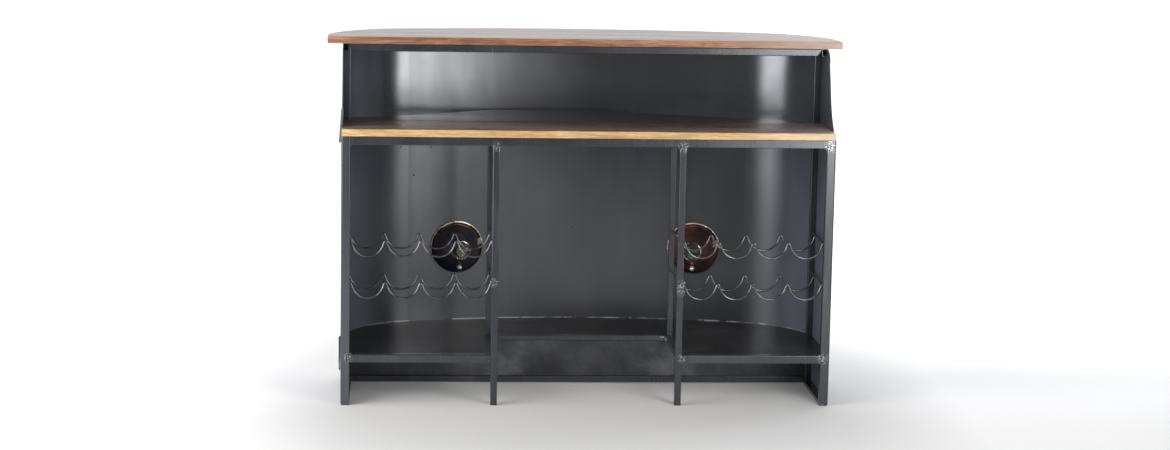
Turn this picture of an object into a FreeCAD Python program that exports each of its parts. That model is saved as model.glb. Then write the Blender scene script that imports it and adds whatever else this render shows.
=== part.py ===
import FreeCAD, Part
import math
import os

import Sketcher

# Bar counter seen from the staff side: a welded steel tube frame, a bowed sheet front
# with two round lamps and a bumper, wooden top and ledge boards, and wire bottle racks.
# X runs along the counter, Y from the staff side to the customer side, Z up.
# The origin lies on the floor, under the middle of the counter's box.

doc = FreeCAD.newDocument("BarCounter")
sheet = doc.addObject("Spreadsheet::Sheet", "Sizes")

# Driving dimensions in millimetres
SIZES = {
    # overall
    "overall_depth": 610,
    "overall_height": 1095,
    "top_length": 1578,
    # levels and depths
    "work_bay_height": 235,
    "shelf_height": 156,
    "chord_depth": 310,
    "side_bay_width": 425,
    # boards
    "top_thickness": 22,
    "top_setback": 212,
    "top_end_overhang": 49,
    "top_end_straight": 73,
    "top_crown_radius": 2307,
    "top_shoulder_radius": 300,
    "ledge_thickness": 22,
    "ledge_front_plank_width": 225,
    "ledge_middle_plank_width": 175,
    "ledge_rear_plank_width": 152,
    "ledge_end_clearance": 14,
    # steel sections
    "tube_wall": 1.5,
    "tube_corner": 2.5,
    "end_post_size": 25,
    "rail_size": 25,
    "partition_post_size": 20,
    "rear_post_size": 18,
    "rear_post_offset": 5,
    "slim_tube_size": 20,
    "foot_rail_height": 14,
    "shelf_bar_size": 16,
    "top_rail_size": 22,
    "top_rail_end_gap": 15,
    "wing_rail_width": 15,
    "bow_bar_thickness": 4,
    "bow_bar_height": 20,
    # sheets
    "sheet_thickness": 2,
    "sheet_floor_gap": 4,
    "crown_overhang": 15,
    "crown_radius": 2040,
    "shoulder_radius": 270,
    "skin_end_inset": 11,
    "fold_clearance": 0.2,
    "skirt_inset": 9,
    "wing_sweep_depth": 116,
    "wing_sweep_height": 111,
    "wing_sweep_bulge": 12,
    "wing_lean": 34,
    "wing_lean_height": 92,
    "wing_top_round": 46,
    # bottle racks
    "rack_wire_diameter": 6,
    "rack_scallop_height": 46,
    "rack_peak_radius": 4,
    "rack_flank_angle": 70,
    "rack_upper_height": 500,
    "rack_level_step": 127,
    "rack_rear_drop": 9,
    "rack_rear_depth": 210,
    "rack_rod_inset": 13,
    "rack_rod_overlap": 5,
    # headlamps
    "lamp_end_inset": 356,
    "lamp_height": 393,
    "lamp_aperture_radius": 84,
    "lamp_collar_depth": 8,
    "lamp_rim_radius": 97,
    "lamp_rim_height": 14,
    "lamp_rim_width": 17,
    "lamp_rim_wall": 1.6,
    "lamp_bowl_clearance": 2,
    "lamp_bowl_depth": 68,
    "lamp_bowl_wall": 1.2,
    "lamp_flange_width": 10,
    "lamp_neck_radius": 27,
    "lamp_lens_wall": 4,
    "lamp_lens_crown": 20,
    "lamp_lens_margin": 6,
    "lamp_cap_flange": 4,
    "lamp_cap_length": 20,
    "lamp_cap_radius": 19,
    "lamp_terminal_width": 8,
    "lamp_terminal_thickness": 1.2,
    "lamp_terminal_length": 11,
    "lamp_bulb_radius": 9,
    "lamp_bulb_length": 34,
    "pilot_drop": 58,
    "pilot_radius": 8,
    "pilot_length": 16,
    # bumper
    "bumper_height": 117,
    "bumper_bottom": 33,
    "bumper_thickness": 3,
    "bumper_edge_radius": 10,
    "bumper_crown_radius": 2055,
    "bumper_shoulder_radius": 290,
    "bumper_end_spread": 15,
    "bracket_end_inset": 390,
    "bracket_width": 40,
    "bracket_wall": 4,
    "bracket_height": 60,
    "bolt_spacing": 34,
    "bolt_radius": 5,
    "bolt_head_radius": 11,
    "bolt_head_height": 5,
    "bolt_nut_radius": 9,
    "bolt_nut_height": 7,
    "bolt_clearance": 0.3,
    # one overrun for every cut
    "cut_overrun": 5,
}
# Where the ledge's rear planks are sawn off, as shares of half the body's width
LEDGE_CUT_SHARES = {
    "middle_left_share": 0.66,
    "middle_right_share": 0.615,
    "rear_left_share": 0.38,
    "rear_right_share": 0.095,
}
SCALLOPS = 4
TERMINALS = 3
TOP_PLANKS = ("top_staff_plank", "top_middle_plank", "top_front_plank")

for row, (alias, number) in enumerate(SIZES.items(), start=1):
    sheet.set("A%d" % row, alias)
    sheet.set("B%d" % row, str(number))
    sheet.setAlias("B%d" % row, alias)
doc.recompute()

SIDES = (("left", -1), ("right", 1))
CYCLE_TO_X = FreeCAD.Rotation(FreeCAD.Vector(1, 1, 1), 120)
CYCLE_TO_Y = FreeCAD.Rotation(FreeCAD.Vector(1, 1, 1), 240)
UPRIGHT = FreeCAD.Rotation()
UP = FreeCAD.Vector(0, 0, 1)
SAME_POINT = 1e-6
nodes = []


def size(alias):
    """Reads one driving dimension from the sheet."""
    return float(sheet.get(alias))


def point(x, y, z=0.0):
    return FreeCAD.Vector(x, y, z)


# Places written as formulas on the sheet
STAFF_FACE = "(-Sizes.overall_depth / 2)"
CHORD_FACE = "(Sizes.chord_depth - Sizes.overall_depth / 2)"
HALF_BODY = "(Sizes.top_length / 2 - Sizes.top_end_overhang)"
TOP_UNDER = "(Sizes.overall_height - Sizes.top_thickness)"
LEDGE_UNDER = "(" + TOP_UNDER + " - Sizes.work_bay_height - Sizes.ledge_thickness)"
SHELF_UNDER = "(Sizes.shelf_height - Sizes.sheet_thickness)"
SKIRT_BOTTOM = "(Sizes.sheet_floor_gap + Sizes.slim_tube_size)"
PARTITION_OUTER = "(" + HALF_BODY + " - Sizes.end_post_size - Sizes.side_bay_width)"
PARTITION_INNER = "(" + PARTITION_OUTER + " - Sizes.partition_post_size)"
TOP_STAFF_FACE = "(Sizes.top_setback - Sizes.overall_depth / 2)"
BOWL_MOUTH = "(Sizes.lamp_aperture_radius - Sizes.lamp_bowl_clearance)"
BOWL_STEEPNESS = ("(Sizes.lamp_bowl_depth / (" + BOWL_MOUTH + " * " + BOWL_MOUTH
                  + " - Sizes.lamp_neck_radius * Sizes.lamp_neck_radius))")
# The stem reaches past its seat to where the bowl is met at the stem's far side
PILOT_STEM = ("Sizes.pilot_length + " + BOWL_STEEPNESS
              + " * Sizes.pilot_radius * (2 * Sizes.pilot_drop + Sizes.pilot_radius)")

# The same places as numbers, for outlines that follow a formula
half_body = size("top_length") / 2 - size("top_end_overhang")
partition_outer = half_body - size("end_post_size") - size("side_bay_width")
staff_y = -size("overall_depth") / 2
chord_y = staff_y + size("chord_depth")
rear_of_corner = chord_y + size("slim_tube_size")
top_under = size("overall_height") - size("top_thickness")
ledge_under = top_under - size("work_bay_height") - size("ledge_thickness")
skin_wall = size("sheet_thickness")


# Helpers for sketches, bodies and booleans
def bind(thing, **formulas):
    """Ties properties of an object to formulas on the sheet."""
    for name, formula in formulas.items():
        thing.setExpression(name, formula)


def place(thing, x, y, z, turn=UPRIGHT):
    """Sets an object's turn and ties its place to formulas on the sheet."""
    thing.Placement = FreeCAD.Placement(FreeCAD.Vector(), turn)
    thing.setExpression(".Placement.Base.x", x)
    thing.setExpression(".Placement.Base.y", y)
    thing.setExpression(".Placement.Base.z", z)


def low_end(sign, inner, outer):
    """The lower X of a piece that spans from inner to outer on one side."""
    return inner if sign > 0 else "-" + outer


def keep(thing, label):
    """Gives a finished sub-part its label and lists it for export."""
    thing.Label = label
    nodes.append(thing)
    return thing


def group(label, members):
    """Like pieces that share one node as separate solids."""
    bundle = doc.addObject("Part::Compound", label)
    bundle.Links = members
    return keep(bundle, label)


def joined(name, members):
    whole = doc.addObject("Part::MultiFuse", name)
    whole.Shapes = members
    whole.Refine = True
    return whole


def cut_from(name, base, tool):
    rest = doc.addObject("Part::Cut", name)
    rest.Base = base
    rest.Tool = tool
    rest.Refine = True
    return rest


def block(name, length, width, height, x, y, z):
    """A rectangular block or a flat sheet."""
    box = doc.addObject("Part::Box", name)
    bind(box, Length=length, Width=width, Height=height)
    place(box, x, y, z)
    return box


def rod(name, radius, height, placement):
    """A round bar along its own Z."""
    bar = doc.addObject("Part::Cylinder", name)
    bind(bar, Radius=radius, Height=height)
    bar.Placement = placement
    return bar


def new_body(name, placement=None):
    body = doc.addObject("PartDesign::Body", name)
    if placement is not None:
        body.Placement = placement
    return body


def origin_plane(body, role):
    return [plane for plane in body.Origin.OriginFeatures if plane.Role == role][0]


def new_sketch(body, name, role):
    """An empty sketch on one of the body's own origin planes."""
    sketch = body.newObject("Sketcher::SketchObject", name)
    sketch.AttachmentSupport = [(origin_plane(body, role), "")]
    sketch.MapMode = "FlatFace"
    return sketch


def segment(start, end):
    return Part.LineSegment(start, end)


def loop(corners):
    """Straight lines through the corners and back to the first."""
    return [segment(start, end) for start, end in zip(corners, corners[1:] + corners[:1])]


def draw(sketch, curves):
    """Adds curves to a sketch and ties each pair of ends that meet."""
    first = sketch.GeometryCount
    for curve in curves:
        sketch.addGeometry(curve, False)
    ends = []
    for index in range(first, sketch.GeometryCount):
        for vertex in (1, 2):
            spot = sketch.getPoint(index, vertex)
            for other, other_vertex, other_spot in ends:
                if (spot - other_spot).Length < SAME_POINT and other != index:
                    sketch.addConstraint(
                        Sketcher.Constraint("Coincident", other, other_vertex, index, vertex))
                    break
            else:
                ends.append((index, vertex, spot))


def draw_rectangle(sketch, inset, width, height):
    """Adds a rectangle, inset from the sketch's origin, tied to formulas."""
    first = sketch.GeometryCount
    corners = [point(1, 1), point(2, 1), point(2, 2), point(1, 2)]
    draw(sketch, loop(corners))
    for index, kind in enumerate(("Horizontal", "Vertical", "Horizontal", "Vertical")):
        sketch.addConstraint(Sketcher.Constraint(kind, first + index))
    if inset is None:
        sketch.addConstraint(Sketcher.Constraint("Coincident", first, 1, -1, 1))
    else:
        for axis in ("DistanceX", "DistanceY"):
            number = sketch.addConstraint(Sketcher.Constraint(axis, -1, 1, first, 1, 1.0))
            sketch.setExpression("Constraints[%d]" % number, inset)
    number = sketch.addConstraint(Sketcher.Constraint("DistanceX", first, 1, first, 2, 1.0))
    sketch.setExpression("Constraints[%d]" % number, width)
    number = sketch.addConstraint(Sketcher.Constraint("DistanceY", first + 1, 1, first + 1, 2, 1.0))
    sketch.setExpression("Constraints[%d]" % number, height)


def add_pad(body, sketch, length, downwards=False):
    pad = body.newObject("PartDesign::Pad", sketch.Name + "_pad")
    pad.Profile = sketch
    pad.Reversed = downwards
    bind(pad, Length=length)
    body.Tip = pad
    return pad


def padded(name, curves, length, height="0"):
    """A body padded from one outline, lifted to its height."""
    body = new_body(name)
    sketch = new_sketch(body, name + "_outline", "XY_Plane")
    draw(sketch, curves)
    add_pad(body, sketch, length)
    bind(body, **{".Placement.Base.z": height})
    return body


def turned(name, curves, placement):
    """A body turned about its own Z from an outline drawn as radius and height."""
    body = new_body(name, placement)
    sketch = new_sketch(body, name + "_profile", "XZ_Plane")
    draw(sketch, curves)
    revolution = body.newObject("PartDesign::Revolution", name + "_turn")
    revolution.Profile = sketch
    revolution.ReferenceAxis = (sketch, ["V_Axis"])
    revolution.Angle = 360
    body.Tip = revolution
    return body


def add_pipe(body, section, spine):
    """Runs a closed section along all the curves of a spine."""
    pipe = body.newObject("PartDesign::AdditivePipe", spine.Name + "_pipe")
    pipe.Profile = section
    pipe.Spine = (spine, ["Edge%d" % (index + 1) for index in range(spine.GeometryCount)])
    body.Tip = pipe
    return pipe


def tube(name, width, height, length, x, y, z, turn=UPRIGHT):
    """A square tube: a hollow section drawn at one corner, padded and rounded outside."""
    body = new_body(name)
    sketch = new_sketch(body, name + "_section", "XY_Plane")
    draw_rectangle(sketch, None, width, height)
    bore = "%s - 2 * Sizes.tube_wall"
    draw_rectangle(sketch, "Sizes.tube_wall", bore % width, bore % height)
    pad = add_pad(body, sketch, length)
    doc.recompute()
    box = pad.Shape.BoundBox
    arrises = []
    for number, edge in enumerate(pad.Shape.Edges, start=1):
        spot = edge.CenterOfMass
        runs_along = abs(edge.tangentAt(edge.FirstParameter).z) > 0.9
        outside = min(spot.x - box.XMin, box.XMax - spot.x) < size("tube_wall") / 2
        outside = outside and min(spot.y - box.YMin, box.YMax - spot.y) < size("tube_wall") / 2
        if runs_along and outside:
            arrises.append("Edge%d" % number)
    fillet = body.newObject("PartDesign::Fillet", name + "_corners")
    fillet.Base = (pad, arrises)
    bind(fillet, Radius="Sizes.tube_corner")
    body.Tip = fillet
    place(body, x, y, z, turn)
    return body


class Bow:
    """A bowed outline of three tangent arcs: a flat crown between two tight shoulders.

    It passes through a corner point on each side and rises to its crown in the middle.
    An offset grows it outwards, about the same three centres.
    """

    def __init__(self, crown_y, crown_radius, shoulder_radius, corner_x, corner_y):
        self.crown_radius = crown_radius
        self.shoulder_radius = shoulder_radius
        self.centre_y = crown_y - crown_radius
        span = math.hypot(corner_x, corner_y - self.centre_y)
        reach = crown_radius - shoulder_radius
        along = (reach ** 2 - shoulder_radius ** 2 + span ** 2) / (2 * span)
        aside = math.sqrt(reach ** 2 - along ** 2)
        way_x = corner_x / span
        way_y = (corner_y - self.centre_y) / span
        self.shoulder_x = along * way_x - aside * way_y
        self.shoulder_y = self.centre_y + along * way_y + aside * way_x
        self.turn = math.atan2(self.shoulder_x, self.shoulder_y - self.centre_y)

    def crown_point(self, angle, offset):
        radius = self.crown_radius + offset
        return point(radius * math.sin(angle), self.centre_y + radius * math.cos(angle))

    def shoulder_point(self, sign, angle, offset):
        radius = self.shoulder_radius + offset
        return point(sign * (self.shoulder_x + radius * math.sin(angle)),
                     self.shoulder_y + radius * math.cos(angle))

    def end_angle(self, end_y, offset):
        return math.acos((end_y - self.shoulder_y) / (self.shoulder_radius + offset))

    def end_point(self, sign, end_y, offset):
        return self.shoulder_point(sign, self.end_angle(end_y, offset), offset)

    def shoulder_arc(self, sign, end_y, offset):
        end = self.end_angle(end_y, offset)
        return Part.Arc(self.shoulder_point(sign, self.turn, offset),
                        self.shoulder_point(sign, (end + self.turn) / 2, offset),
                        self.shoulder_point(sign, end, offset))

    def crown_arc(self, start_x, end_x, offset):
        """The crown between two places along X, both within its shoulders."""
        radius = self.crown_radius + offset
        start = math.asin(start_x / radius)
        end = math.asin(end_x / radius)
        return Part.Arc(self.crown_point(start, offset), self.crown_point((start + end) / 2, offset),
                        self.crown_point(end, offset))

    def turn_x(self, offset):
        """Where the crown ends and the shoulder begins, along X."""
        return (self.crown_radius + offset) * math.sin(self.turn)

    def curves(self, offset, end_y):
        """The outline's three arcs."""
        turn_x = self.turn_x(offset)
        return [self.shoulder_arc(-1, end_y, offset), self.crown_arc(-turn_x, turn_x, offset),
                self.shoulder_arc(1, end_y, offset)]

    def band(self, inner, outer, end_y):
        """The closed outline of a wall between two offsets."""
        ends = []
        for sign in (-1, 1):
            angle = self.end_angle(end_y, inner)
            ends.append(segment(self.shoulder_point(sign, angle, inner),
                                self.end_point(sign, end_y, outer)))
        return self.curves(inner, end_y) + self.curves(outer, end_y) + ends


skin_bow = Bow(size("overall_depth") / 2 - size("crown_overhang") - skin_wall,
               size("crown_radius"), size("shoulder_radius"),
               half_body - size("skin_end_inset"), rear_of_corner)
top_bow = Bow(size("overall_depth") / 2, size("top_crown_radius"),
              size("top_shoulder_radius"), size("top_length") / 2,
              staff_y + size("top_setback") + size("top_end_straight"))
bumper_bow = Bow(size("overall_depth") / 2 - size("bumper_thickness"),
                 size("bumper_crown_radius"), size("bumper_shoulder_radius"),
                 half_body + size("bumper_end_spread"), rear_of_corner)


# Upright tubes
def build_posts():
    post = "Sizes.end_post_size"
    partition = "Sizes.partition_post_size"
    rear = "Sizes.rear_post_size"
    slim = "Sizes.slim_tube_size"
    rear_outer = "(" + PARTITION_OUTER + " + Sizes.rear_post_offset)"
    rear_inner = "(" + rear_outer + " - Sizes.rear_post_size)"
    for side, sign in SIDES:
        keep(tube(side + "_end_post", post, post, LEDGE_UNDER + " - Sizes.foot_rail_height",
                  low_end(sign, HALF_BODY + " - " + post, HALF_BODY), STAFF_FACE,
                  "Sizes.foot_rail_height"),
             side + "_end_post")
        keep(tube(side + "_partition_post", partition, partition,
                  LEDGE_UNDER + " - Sizes.rail_size",
                  low_end(sign, PARTITION_INNER, PARTITION_OUTER), STAFF_FACE, "0"),
             side + "_partition_post")
        keep(tube(side + "_partition_rear_post", rear, rear,
                  LEDGE_UNDER + " - " + slim + " - Sizes.shelf_height",
                  low_end(sign, rear_inner, rear_outer), CHORD_FACE, "Sizes.shelf_height"),
             side + "_partition_rear_post")
        keep(tube(side + "_corner_post", slim, slim, TOP_UNDER,
                  low_end(sign, HALF_BODY + " - " + slim, HALF_BODY), CHORD_FACE, "0"),
             side + "_corner_post")


# Level tubes that run along the counter
def build_long_rails():
    rail = "Sizes.rail_size"
    post = "Sizes.end_post_size"
    slim = "Sizes.slim_tube_size"
    bar = "Sizes.shelf_bar_size"
    between_posts = "2 * (" + HALF_BODY + " - " + post + ")"
    between_corners = "2 * (" + HALF_BODY + " - " + slim + ")"
    inside_post = "-" + HALF_BODY + " + " + post
    inside_corner = "-" + HALF_BODY + " + " + slim
    keep(tube("ledge_rail", rail, rail, between_posts,
              inside_post, STAFF_FACE, LEDGE_UNDER + " - " + rail, CYCLE_TO_X), "ledge_rail")
    keep(tube("ledge_chord_rail", slim, slim, between_corners,
              inside_corner, CHORD_FACE, LEDGE_UNDER + " - " + slim, CYCLE_TO_X),
         "ledge_chord_rail")
    keep(tube("shelf_chord_rail", bar, bar, between_corners,
              inside_corner, CHORD_FACE, SHELF_UNDER + " - " + bar, CYCLE_TO_X),
         "shelf_chord_rail")
    keep(tube("skirt_foot_rail", slim, slim, between_corners,
              inside_corner, CHORD_FACE, "Sizes.sheet_floor_gap", CYCLE_TO_X), "skirt_foot_rail")
    for side, sign in SIDES:
        keep(tube(side + "_shelf_rail", rail, rail, "Sizes.side_bay_width",
                  low_end(sign, PARTITION_OUTER, HALF_BODY + " + " + post), STAFF_FACE,
                  "Sizes.shelf_height - " + rail, CYCLE_TO_X), side + "_shelf_rail")


def build_top_rail():
    """The rail under the top board, whose ends are sawn off slanting."""
    rail = "Sizes.top_rail_size"
    body = tube("top_rail", rail, rail, "2 * (" + HALF_BODY + " - Sizes.wing_rail_width)",
                "-" + HALF_BODY + " + Sizes.wing_rail_width", TOP_STAFF_FACE,
                TOP_UNDER + " - " + rail, CYCLE_TO_X)
    doc.recompute()
    section = size("top_rail_size")
    over = size("cut_overrun")
    length = 2 * (half_body - size("wing_rail_width"))
    sketch = new_sketch(body, "top_rail_slants", "YZ_Plane")
    for end, inward in ((0.0, 1), (length, -1)):
        outward = end - inward * over
        tip = end + inward * size("top_rail_end_gap")
        draw(sketch, loop([point(-over, outward), point(-over, tip), point(0, tip),
                           point(section, end), point(section, outward)]))
    before = body.Shape.Volume
    pocket = body.newObject("PartDesign::Pocket", "top_rail_slant_cut")
    pocket.Profile = sketch
    pocket.Type = "ThroughAll"
    pocket.Midplane = True
    body.Tip = pocket
    doc.recompute()
    if body.Shape.Volume >= before:
        raise RuntimeError("the top rail's slanting ends were not cut")
    keep(body, "top_rail")


# Level tubes that run from the staff side to the chord of the bow
def build_cross_rails():
    slim = "Sizes.slim_tube_size"
    bar = "Sizes.shelf_bar_size"
    post = "Sizes.end_post_size"
    behind_post = STAFF_FACE + " + " + post
    post_run = "Sizes.chord_depth - " + post
    ledge_members = []
    shelf_members = []
    wing_members = []
    for side, sign in SIDES:
        keep(tube(side + "_foot_rail", "Sizes.foot_rail_height", post, "Sizes.chord_depth",
                  low_end(sign, HALF_BODY + " - " + post, HALF_BODY), STAFF_FACE, "0",
                  CYCLE_TO_Y), side + "_foot_rail")
        keep(tube(side + "_partition_shelf_rail", bar, bar,
                  "Sizes.chord_depth - Sizes.partition_post_size",
                  low_end(sign, PARTITION_OUTER + " - " + bar, PARTITION_OUTER),
                  STAFF_FACE + " + Sizes.partition_post_size", SHELF_UNDER + " - " + bar,
                  CYCLE_TO_Y), side + "_partition_shelf_rail")
        shelf_members.append(tube(side + "_end_shelf_rail", bar, bar, post_run,
                                  low_end(sign, HALF_BODY + " - " + bar, HALF_BODY),
                                  behind_post, SHELF_UNDER + " - " + bar, CYCLE_TO_Y))
        ledge_members.append(tube(side + "_ledge_end_rail", slim, slim, post_run,
                                  low_end(sign, HALF_BODY + " - " + slim, HALF_BODY),
                                  behind_post, LEDGE_UNDER + " - " + slim, CYCLE_TO_Y))
        ledge_members.append(tube(side + "_ledge_partition_rail", slim, slim,
                                  "Sizes.chord_depth - Sizes.rail_size",
                                  low_end(sign, PARTITION_INNER, PARTITION_INNER + " - " + slim),
                                  STAFF_FACE + " + Sizes.rail_size",
                                  LEDGE_UNDER + " - " + slim, CYCLE_TO_Y))
        wing_members.append(tube(side + "_wing_rail", "Sizes.top_rail_size",
                                 "Sizes.wing_rail_width",
                                 "Sizes.chord_depth - Sizes.top_setback",
                                 low_end(sign, HALF_BODY + " - Sizes.wing_rail_width", HALF_BODY),
                                 TOP_STAFF_FACE, TOP_UNDER + " - Sizes.top_rail_size",
                                 CYCLE_TO_Y))
    group("end_shelf_rails", shelf_members)
    group("ledge_cross_rails", ledge_members)
    group("wing_rails", wing_members)


# Wooden boards
def build_top_boards():
    """Three planks along the counter, sawn together to the top's outline."""
    front_y = staff_y + size("top_setback")
    straight_y = front_y + size("top_end_straight")
    half_top = size("top_length") / 2
    corners = [point(-half_top, straight_y), point(-half_top, front_y),
               point(half_top, front_y), point(half_top, straight_y)]
    sides = [segment(start, end) for start, end in zip(corners, corners[1:])]
    board = padded("top_outline", top_bow.curves(0, straight_y) + sides,
                   "Sizes.top_thickness", TOP_UNDER)
    width = "((Sizes.overall_depth - Sizes.top_setback) / %d)" % len(TOP_PLANKS)
    for number, name in enumerate(TOP_PLANKS):
        strip = block(name + "_strip", "Sizes.top_length + 2 * Sizes.cut_overrun",
                      width, "Sizes.top_thickness",
                      "-Sizes.top_length / 2 - Sizes.cut_overrun",
                      "%s + %d * %s" % (TOP_STAFF_FACE, number, width), TOP_UNDER)
        plank = doc.addObject("Part::Common", name)
        plank.Base = board
        plank.Tool = strip
        keep(plank, name)


def build_ledge_boards():
    """A straight front plank, and two planks behind it with their ends sawn slanting."""
    seam_one = staff_y + size("ledge_front_plank_width")
    seam_two = seam_one + size("ledge_middle_plank_width")
    far = seam_two + size("ledge_rear_plank_width")
    straight = chord_y - size("ledge_end_clearance")
    share = LEDGE_CUT_SHARES
    outlines = {
        "ledge_front_plank": [(-1, staff_y), (1, staff_y), (1, seam_one), (-1, seam_one)],
        "ledge_middle_plank": [(-1, seam_one), (1, seam_one), (1, straight),
                               (share["middle_right_share"], seam_two),
                               (-share["middle_left_share"], seam_two), (-1, straight)],
        "ledge_rear_plank": [(-share["middle_left_share"], seam_two),
                             (share["middle_right_share"], seam_two),
                             (share["rear_right_share"], far),
                             (-share["rear_left_share"], far)],
    }
    for name, corners in outlines.items():
        outline = loop([point(part * half_body, y) for part, y in corners])
        keep(padded(name, outline, "Sizes.ledge_thickness", LEDGE_UNDER), name)


def lamp_place(sign):
    """A lamp's place: Z along its axis towards the customer, Y up, on the skin's face."""
    radius = skin_bow.crown_radius + skin_wall
    slant = sign * math.asin((half_body - size("lamp_end_inset")) / radius)
    spot = skin_bow.crown_point(slant, skin_wall)
    spot.z = size("lamp_height")
    outward = point(math.sin(slant), math.cos(slant))
    return FreeCAD.Placement(spot, FreeCAD.Rotation(UP.cross(outward), UP, outward))


def below(placement, depth):
    """The same place, moved back along its own Z."""
    return placement.multiply(FreeCAD.Placement(point(0, 0, -depth), UPRIGHT))


# Sheets
def build_bow_skin():
    """The bowed front sheet, with a collar turned inwards round each lamp aperture."""
    sheet_body = padded("skin_sheet", skin_bow.band(0, skin_wall, rear_of_corner),
                        TOP_UNDER + " - Sizes.sheet_floor_gap", "Sizes.sheet_floor_gap")
    depth = size("lamp_collar_depth")
    over = size("cut_overrun")
    rings = []
    holes = []
    for side, sign in SIDES:
        at = lamp_place(sign)
        rings.append(rod(side + "_collar", "Sizes.lamp_aperture_radius + Sizes.sheet_thickness",
                         "Sizes.lamp_collar_depth - Sizes.sheet_thickness / 2", below(at, depth)))
        holes.append(rod(side + "_aperture", "Sizes.lamp_aperture_radius",
                         "Sizes.lamp_collar_depth + 2 * Sizes.cut_overrun",
                         below(at, depth + over)))
    collared = joined("collared_skin", [sheet_body] + rings)
    keep(cut_from("bow_skin", collared, joined("lamp_apertures", holes)), "bow_skin")


def build_bow_bar():
    """The flat bar bent along the skin's inner face, under the top board."""
    bar = padded("top_bow_bar", skin_bow.band(-size("bow_bar_thickness"), 0, rear_of_corner),
                 "Sizes.bow_bar_height", TOP_UNDER + " - Sizes.bow_bar_height")
    keep(bar, "top_bow_bar")


def fold_inner_x():
    """Where the end sheets' folds behind the corner posts meet the skin."""
    return skin_bow.end_point(1, rear_of_corner, skin_wall).x + size("fold_clearance")


def build_end_sheets():
    """The end panels from the floor to the ledge, folded behind the corner posts."""
    inner = fold_inner_x()
    outer = half_body + skin_wall
    back = rear_of_corner + skin_wall
    for side, sign in SIDES:
        corners = [(half_body, staff_y), (outer, staff_y), (outer, back), (inner, back),
                   (inner, rear_of_corner), (half_body, rear_of_corner)]
        outline = loop([point(sign * x, y) for x, y in corners])
        panel = padded(side + "_end_sheet", outline,
                       LEDGE_UNDER + " - Sizes.sheet_floor_gap", "Sizes.sheet_floor_gap")
        keep(panel, side + "_end_sheet")


def wing_outline():
    """The wing's side view: a swept staff edge, a lean and a rounded top corner."""
    sweep_y = staff_y + size("wing_sweep_depth")
    sweep_z = size("wing_sweep_height")
    lean_y = sweep_y + size("wing_lean")
    lean_z = sweep_z + size("wing_lean_height")
    top_round = size("wing_top_round")
    top_z = top_under - ledge_under
    bulge = size("wing_sweep_bulge")
    back = rear_of_corner + skin_wall
    middle = point((staff_y + sweep_y) / 2 + bulge, sweep_z / 2 - bulge)
    eighth = math.pi / 4
    crest = point(lean_y + top_round * (1 - math.cos(eighth)),
                  lean_z + (top_z - lean_z) * math.sin(eighth))
    corners = [point(lean_y + top_round, top_z), point(back, top_z), point(back, 0),
               point(staff_y, 0)]
    curves = [Part.Arc(point(staff_y, 0), middle, point(sweep_y, sweep_z)),
              segment(point(sweep_y, sweep_z), point(lean_y, lean_z)),
              Part.Arc(point(lean_y, lean_z), crest, corners[0])]
    return curves + [segment(start, end) for start, end in zip(corners, corners[1:])]


def build_wing_sheets():
    """The end panels above the ledge, whose staff edge sweeps back to the top."""
    inner = fold_inner_x()
    for side, sign in SIDES:
        name = side + "_wing_sheet"
        panel = new_body(name)
        face = new_sketch(panel, name + "_face", "YZ_Plane")
        draw(face, wing_outline())
        add_pad(panel, face, "Sizes.sheet_thickness", sign < 0)
        fold = new_sketch(panel, name + "_fold", "XY_Plane")
        draw(fold, loop([point(0, rear_of_corner),
                         point(sign * (inner - half_body), rear_of_corner),
                         point(sign * (inner - half_body), rear_of_corner + skin_wall),
                         point(0, rear_of_corner + skin_wall)]))
        add_pad(panel, fold, TOP_UNDER + " - " + LEDGE_UNDER)
        place(panel, low_end(sign, HALF_BODY, HALF_BODY), "0", LEDGE_UNDER)
        keep(panel, name)


def build_shelf_sheets():
    """The side shelves, the bowed shelf behind them and the straight skirt below."""
    wall = "Sizes.sheet_thickness"
    inner = PARTITION_OUTER + " - Sizes.shelf_bar_size"
    span = HALF_BODY + " - (" + inner + ")"
    for side, sign in SIDES:
        keep(block(side + "_shelf_sheet", span,
                   "Sizes.chord_depth - Sizes.rail_size", wall,
                   inner if sign > 0 else "-" + HALF_BODY,
                   STAFF_FACE + " + Sizes.rail_size", SHELF_UNDER),
             side + "_shelf_sheet")
    keep(block("skirt_sheet", "2 * (" + HALF_BODY + " - Sizes.slim_tube_size)", wall,
               SHELF_UNDER + " - Sizes.shelf_bar_size - " + SKIRT_BOTTOM,
               "-" + HALF_BODY + " + Sizes.slim_tube_size",
               CHORD_FACE + " + Sizes.skirt_inset", SKIRT_BOTTOM),
         "skirt_sheet")
    between = half_body - size("slim_tube_size")
    end = skin_bow.end_point(1, rear_of_corner, 0).x
    corners = [point(-end, rear_of_corner), point(-between, rear_of_corner),
               point(-between, chord_y), point(between, chord_y),
               point(between, rear_of_corner), point(end, rear_of_corner)]
    notches = [segment(start, finish) for start, finish in zip(corners, corners[1:])]
    keep(padded("bow_shelf_sheet", skin_bow.curves(0, rear_of_corner) + notches, wall,
                SHELF_UNDER), "bow_shelf_sheet")


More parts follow.
